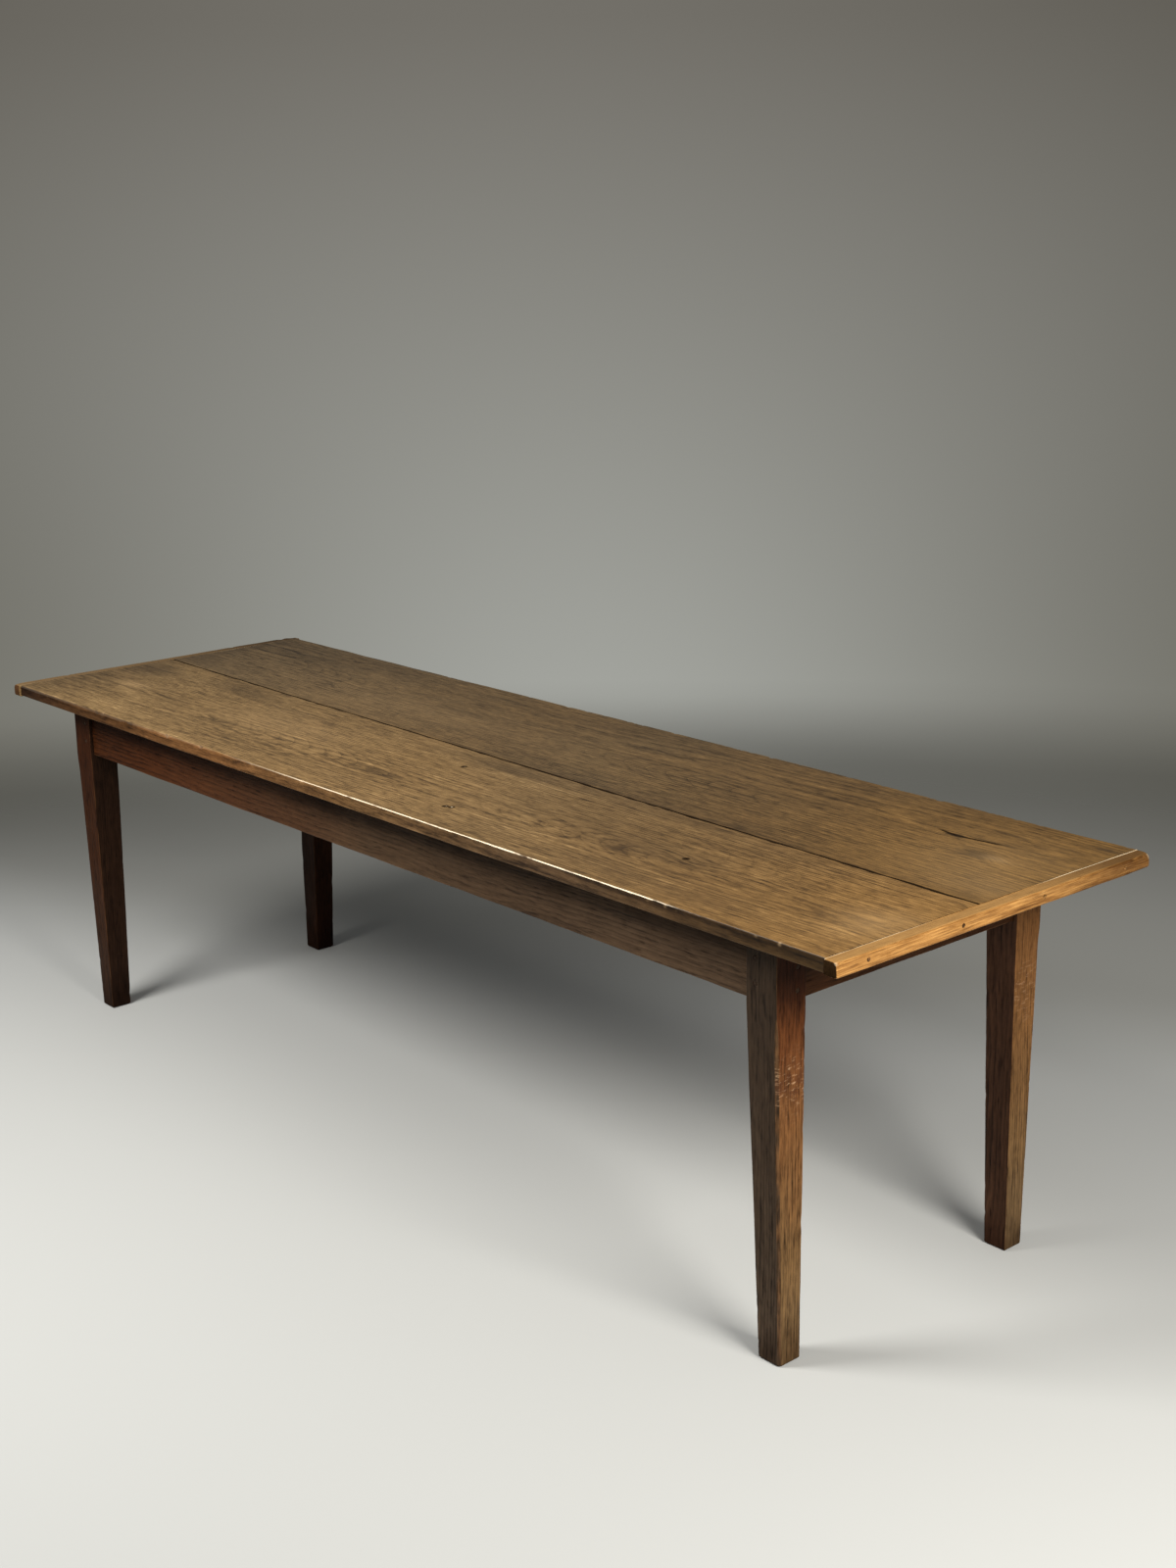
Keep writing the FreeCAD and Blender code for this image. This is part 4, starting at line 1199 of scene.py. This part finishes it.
steelLook = {
    "tones": ((0.3, (70, 64, 58)), (0.7, (140, 132, 122))), "scale": (300.0, 2400.0, 300.0),
    "finish": (2.0, 2.0), "patchScale": (220.0, 220.0, 220.0), "patchFinish": (6.0, 3.0),
    "patch": (66, 48, 36), "patches": (0.48, 0.66), "patchAmount": 0.8, "bright": (0.7, 0.45),
    "metal": 0.9, "rough": 0.38, "roughShare": 0.3, "bump": 0.3, "bumpDepth": 0.0003,
}


def bareOakMaterial(name, axis, seed):
    wood = dict(innerWood, axis=axis, seed=seed)

    def layers(oak, surface):
        dust = noiseAt(oak["place"], wood["dustScale"], seed + 3.0, 3.0).ease(*wood["dusty"])
        surface["colour"] = surface["colour"].under(wood["dust"], dust * wood["dustAmount"])

    return oakMaterial(name, wood, layers)


def easedCopy(node, sizes):
    # the node's own shape with its edges eased by hand
    piece = sceneObject("eased", nodeMesh(node))
    flat = piece.modifiers.new("flat", "DECIMATE")
    flat.decimate_type = "DISSOLVE"
    flat.angle_limit = math.radians(sizes["flatAngle"])
    ease = piece.modifiers.new("ease", "BEVEL")
    ease.width = sizes["ease"]
    ease.segments = sizes["easeSteps"]
    ease.limit_method = "ANGLE"
    ease.angle_limit = math.radians(sizes["easeAngle"])
    return shaped(piece)


def setMaterial(node, material):
    for slot in frame["nodes"][node].material_slots:
        slot.material = material


def makeUnderside():
    for place, name in enumerate(("left", "middle", "right")):
        node = "bearer_" + name
        seed = 151.0 + 6 * place
        mesh = railMesh(node, 1, bearerSizes, seed)
        material = bareOakMaterial("bareBearer" + name.capitalize(), 1, seed)
        addPiece("bearer" + name.capitalize(), mesh, node, material)
    for place, (name, axis) in enumerate((("front", 1), ("rear", 1), ("left", 0), ("right", 0))):
        node = "top_buttons_" + name
        mesh = easedCopy(node, buttonSizes)
        material = bareOakMaterial("bareButtons" + name.capitalize(), axis, 171.0 + 6 * place)
        addPiece("buttons" + name.capitalize(), mesh, node, material)
    setMaterial("seam_keys", bareOakMaterial("bareKeys", 1, 195.0))
    steel = metalMaterial("dulledSteel", steelLook)
    setMaterial("bearer_screws", steel)
    setMaterial("button_screws", steel)
    print("underside made")


# The studio: floor, soft light and the photo's camera
studio = {
    "floorRadius": 6.0, "floorRings": 24, "floorSides": 96, "fadeMiddle": (0.6, -0.6), "fade": (4.8, 2.6),
    "floorTones": ((0.0, (174, 175, 172)), (1.0, (141, 141, 136))), "floorRough": 0.75, "floorGloss": 0.2,
    "cloudScale": (0.9, 0.9, 0.9), "speckScale": (60.0, 60.0, 60.0), "speck": 0.03, "wobble": 0.4,
    "depthWay": (-0.755, 0.656), "sideWay": (0.656, 0.755), "lightSlant": 0.4, "light": (0.5, 1.25),
    "lightWobble": 0.2, "dim": (1.5, 2.6), "dimTint": (214, 214, 211), "ambient": 0.20,
    "ambientColour": (0.94, 0.97, 1.0, 1.0),
    "wall": ((0.0, (104, 103, 98)), (0.372, (126, 126, 120)), (0.389, (162, 163, 157)),
             (0.538, (115, 112, 105)), (0.7, (96, 94, 88))),
    "wallEdge": (172, 168, 160), "spotRise": (0.39, 0.52), "spotShift": -0.03, "spotReach": 0.215,
    "spotGrowth": 0.15,
    # lamps: name, place, aim, size, power, colour, whether shiny surfaces mirror it
    "lamps": (("key", (3.5, -0.5, 2.2), (0.6, 0.0, 0.3), 1.5, 162.0, (1.0, 0.965, 0.92), False),
              ("front", (-0.55, -2.1, 2.6), (-0.4, 0.1, 0.2), 1.3, 120.0, (1.0, 0.98, 0.955), True)),
}
photoCamera = {"place": (3.20808, -2.52939, 1.82180), "yaw": 0.85541, "pitch": -0.2694, "roll": -0.01503,
               "focalPixels": 2162.8, "imageHeight": 1600, "filmHeight": 36.0}


def alongWay(x, y, way):
    return x * way[0] + y * way[1]


def floorMaterial():
    material, start, place = emptyMaterial("paleFloor")
    x, y = splitPlace(place)[:2]
    fadeX, fadeY = studio["fadeMiddle"]
    fromMiddle = ((x - fadeX) ** 2.0 + (y - fadeY) ** 2.0).math("SQRT")
    depth = alongWay(x, y, studio["depthWay"])
    cloud = noiseAt(place, studio["cloudScale"], 2.0, 3.0) - 0.5
    speck = noiseAt(place, studio["speckScale"], 4.0, 4.0) - 0.5
    wobble = cloud * studio["wobble"]
    # the pool of light ends along a slant, and the far floor is dimmer
    slant = depth + alongWay(x, y, studio["sideWay"]) * studio["lightSlant"]
    share = (slant + cloud * studio["lightWobble"]).ease(*studio["light"]) + speck * studio["speck"]
    colour = share.ramp(studio["floorTones"])
    colour = colour.times(studio["dimTint"], (depth + wobble).ease(*studio["dim"]))
    showShader(principled(start, {
        "Base Color": colour, "Roughness": studio["floorRough"],
        "Specular IOR Level": studio["floorGloss"],
        "Alpha": (fromMiddle + wobble).ease(*studio["fade"])}))
    return material


def makeFloor():
    angles = circleOf(studio["floorSides"])
    radii = np.linspace(0, studio["floorRadius"], studio["floorRings"] + 1)[1:]
    spots = [(0.0, 0.0, 0.0)]
    for radius in radii:
        spots += [(radius * math.cos(angle), radius * math.sin(angle), 0.0) for angle in angles]
    count = len(angles)
    faces = [(0, 1 + step, 1 + (step + 1) % count) for step in range(count)]
    for ring in range(len(radii) - 1):
        for step in range(count):
            here = 1 + ring * count + step
            after = 1 + ring * count + (step + 1) % count
            faces.append((here, here + count, after + count, after))
    mesh = bpy.data.meshes.new("floor")
    mesh.from_pydata(spots, [], faces)
    mesh.materials.append(floorMaterial())
    sceneObject("floor", mesh)


def makeWorld():
    world = bpy.data.worlds.new("studio")
    world.use_nodes = True
    world.node_tree.nodes.clear()
    start = Field(world.node_tree)
    x, y, z = splitPlace(start.node("ShaderNodeTexCoord", output="Generated"))
    height = z * 0.5 + 0.5
    wall = height.ramp(studio["wall"])
    # the lit patch of the wall widens upwards
    upper = height.ease(*studio["spotRise"])
    reach = upper * studio["spotGrowth"] + studio["spotReach"]
    spot = bell((alongWay(x, y, studio["sideWay"]), upper * studio["spotShift"], reach))
    wall = wall.times(studio["wallEdge"]).under(wall, spot)
    backdrop = start.node("ShaderNodeBackground", None, {"Color": wall, "Strength": 1.0})
    values = {"Color": studio["ambientColour"], "Strength": studio["ambient"]}
    ambient = start.node("ShaderNodeBackground", None, values)
    seen = [start.node("ShaderNodeLightPath", output=kind)
            for kind in ("Is Camera Ray", "Is Glossy Ray", "Is Transmission Ray")]
    share = seen[0].math("MAXIMUM", seen[1]).math("MAXIMUM", seen[2])
    mixed = start.node("ShaderNodeMixShader", None, {0: share, 1: ambient, 2: backdrop})
    start.node("ShaderNodeOutputWorld", None, {"Surface": mixed})
    bpy.context.scene.world = world


def softLight(name, place, aim, size, power, colour, mirrored):
    lamp = bpy.data.lights.new(name, "AREA")
    lamp.shape = "DISK"
    lamp.size = size
    lamp.energy = power
    lamp.color = colour
    holder = sceneObject(name, lamp)
    holder.location = place
    holder.visible_glossy = mirrored
    holder.rotation_euler = (Vector(aim) - Vector(place)).to_track_quat("-Z", "Y").to_euler()


def makeCamera():
    view = photoCamera
    forward = Vector((-math.sin(view["yaw"]) * math.cos(view["pitch"]),
                      math.cos(view["yaw"]) * math.cos(view["pitch"]), math.sin(view["pitch"])))
    levelRight = Vector((math.cos(view["yaw"]), math.sin(view["yaw"]), 0.0))
    levelUp = levelRight.cross(forward)
    right = levelRight * math.cos(view["roll"]) + levelUp * math.sin(view["roll"])
    up = levelUp * math.cos(view["roll"]) - levelRight * math.sin(view["roll"])
    data = bpy.data.cameras.new("photoView")
    data.sensor_fit = "VERTICAL"
    data.sensor_height = view["filmHeight"]
    data.lens = view["focalPixels"] / view["imageHeight"] * view["filmHeight"]
    camera = sceneObject("photoView", data)
    turn = Matrix((right, up, -forward)).transposed().to_4x4()
    camera.matrix_world = Matrix.Translation(view["place"]) @ turn
    bpy.context.scene.camera = camera


def makeStudio():
    makeFloor()
    makeWorld()
    for lamp in studio["lamps"]:
        softLight(*lamp)
    makeCamera()
    bpy.context.scene.view_settings.view_transform = "Standard"
    print("studio made")


makePlanks()
makeCleats()
makeLegs()
makeAprons()
makePegs()
makeNails()
makeUnderside()
makeStudio()
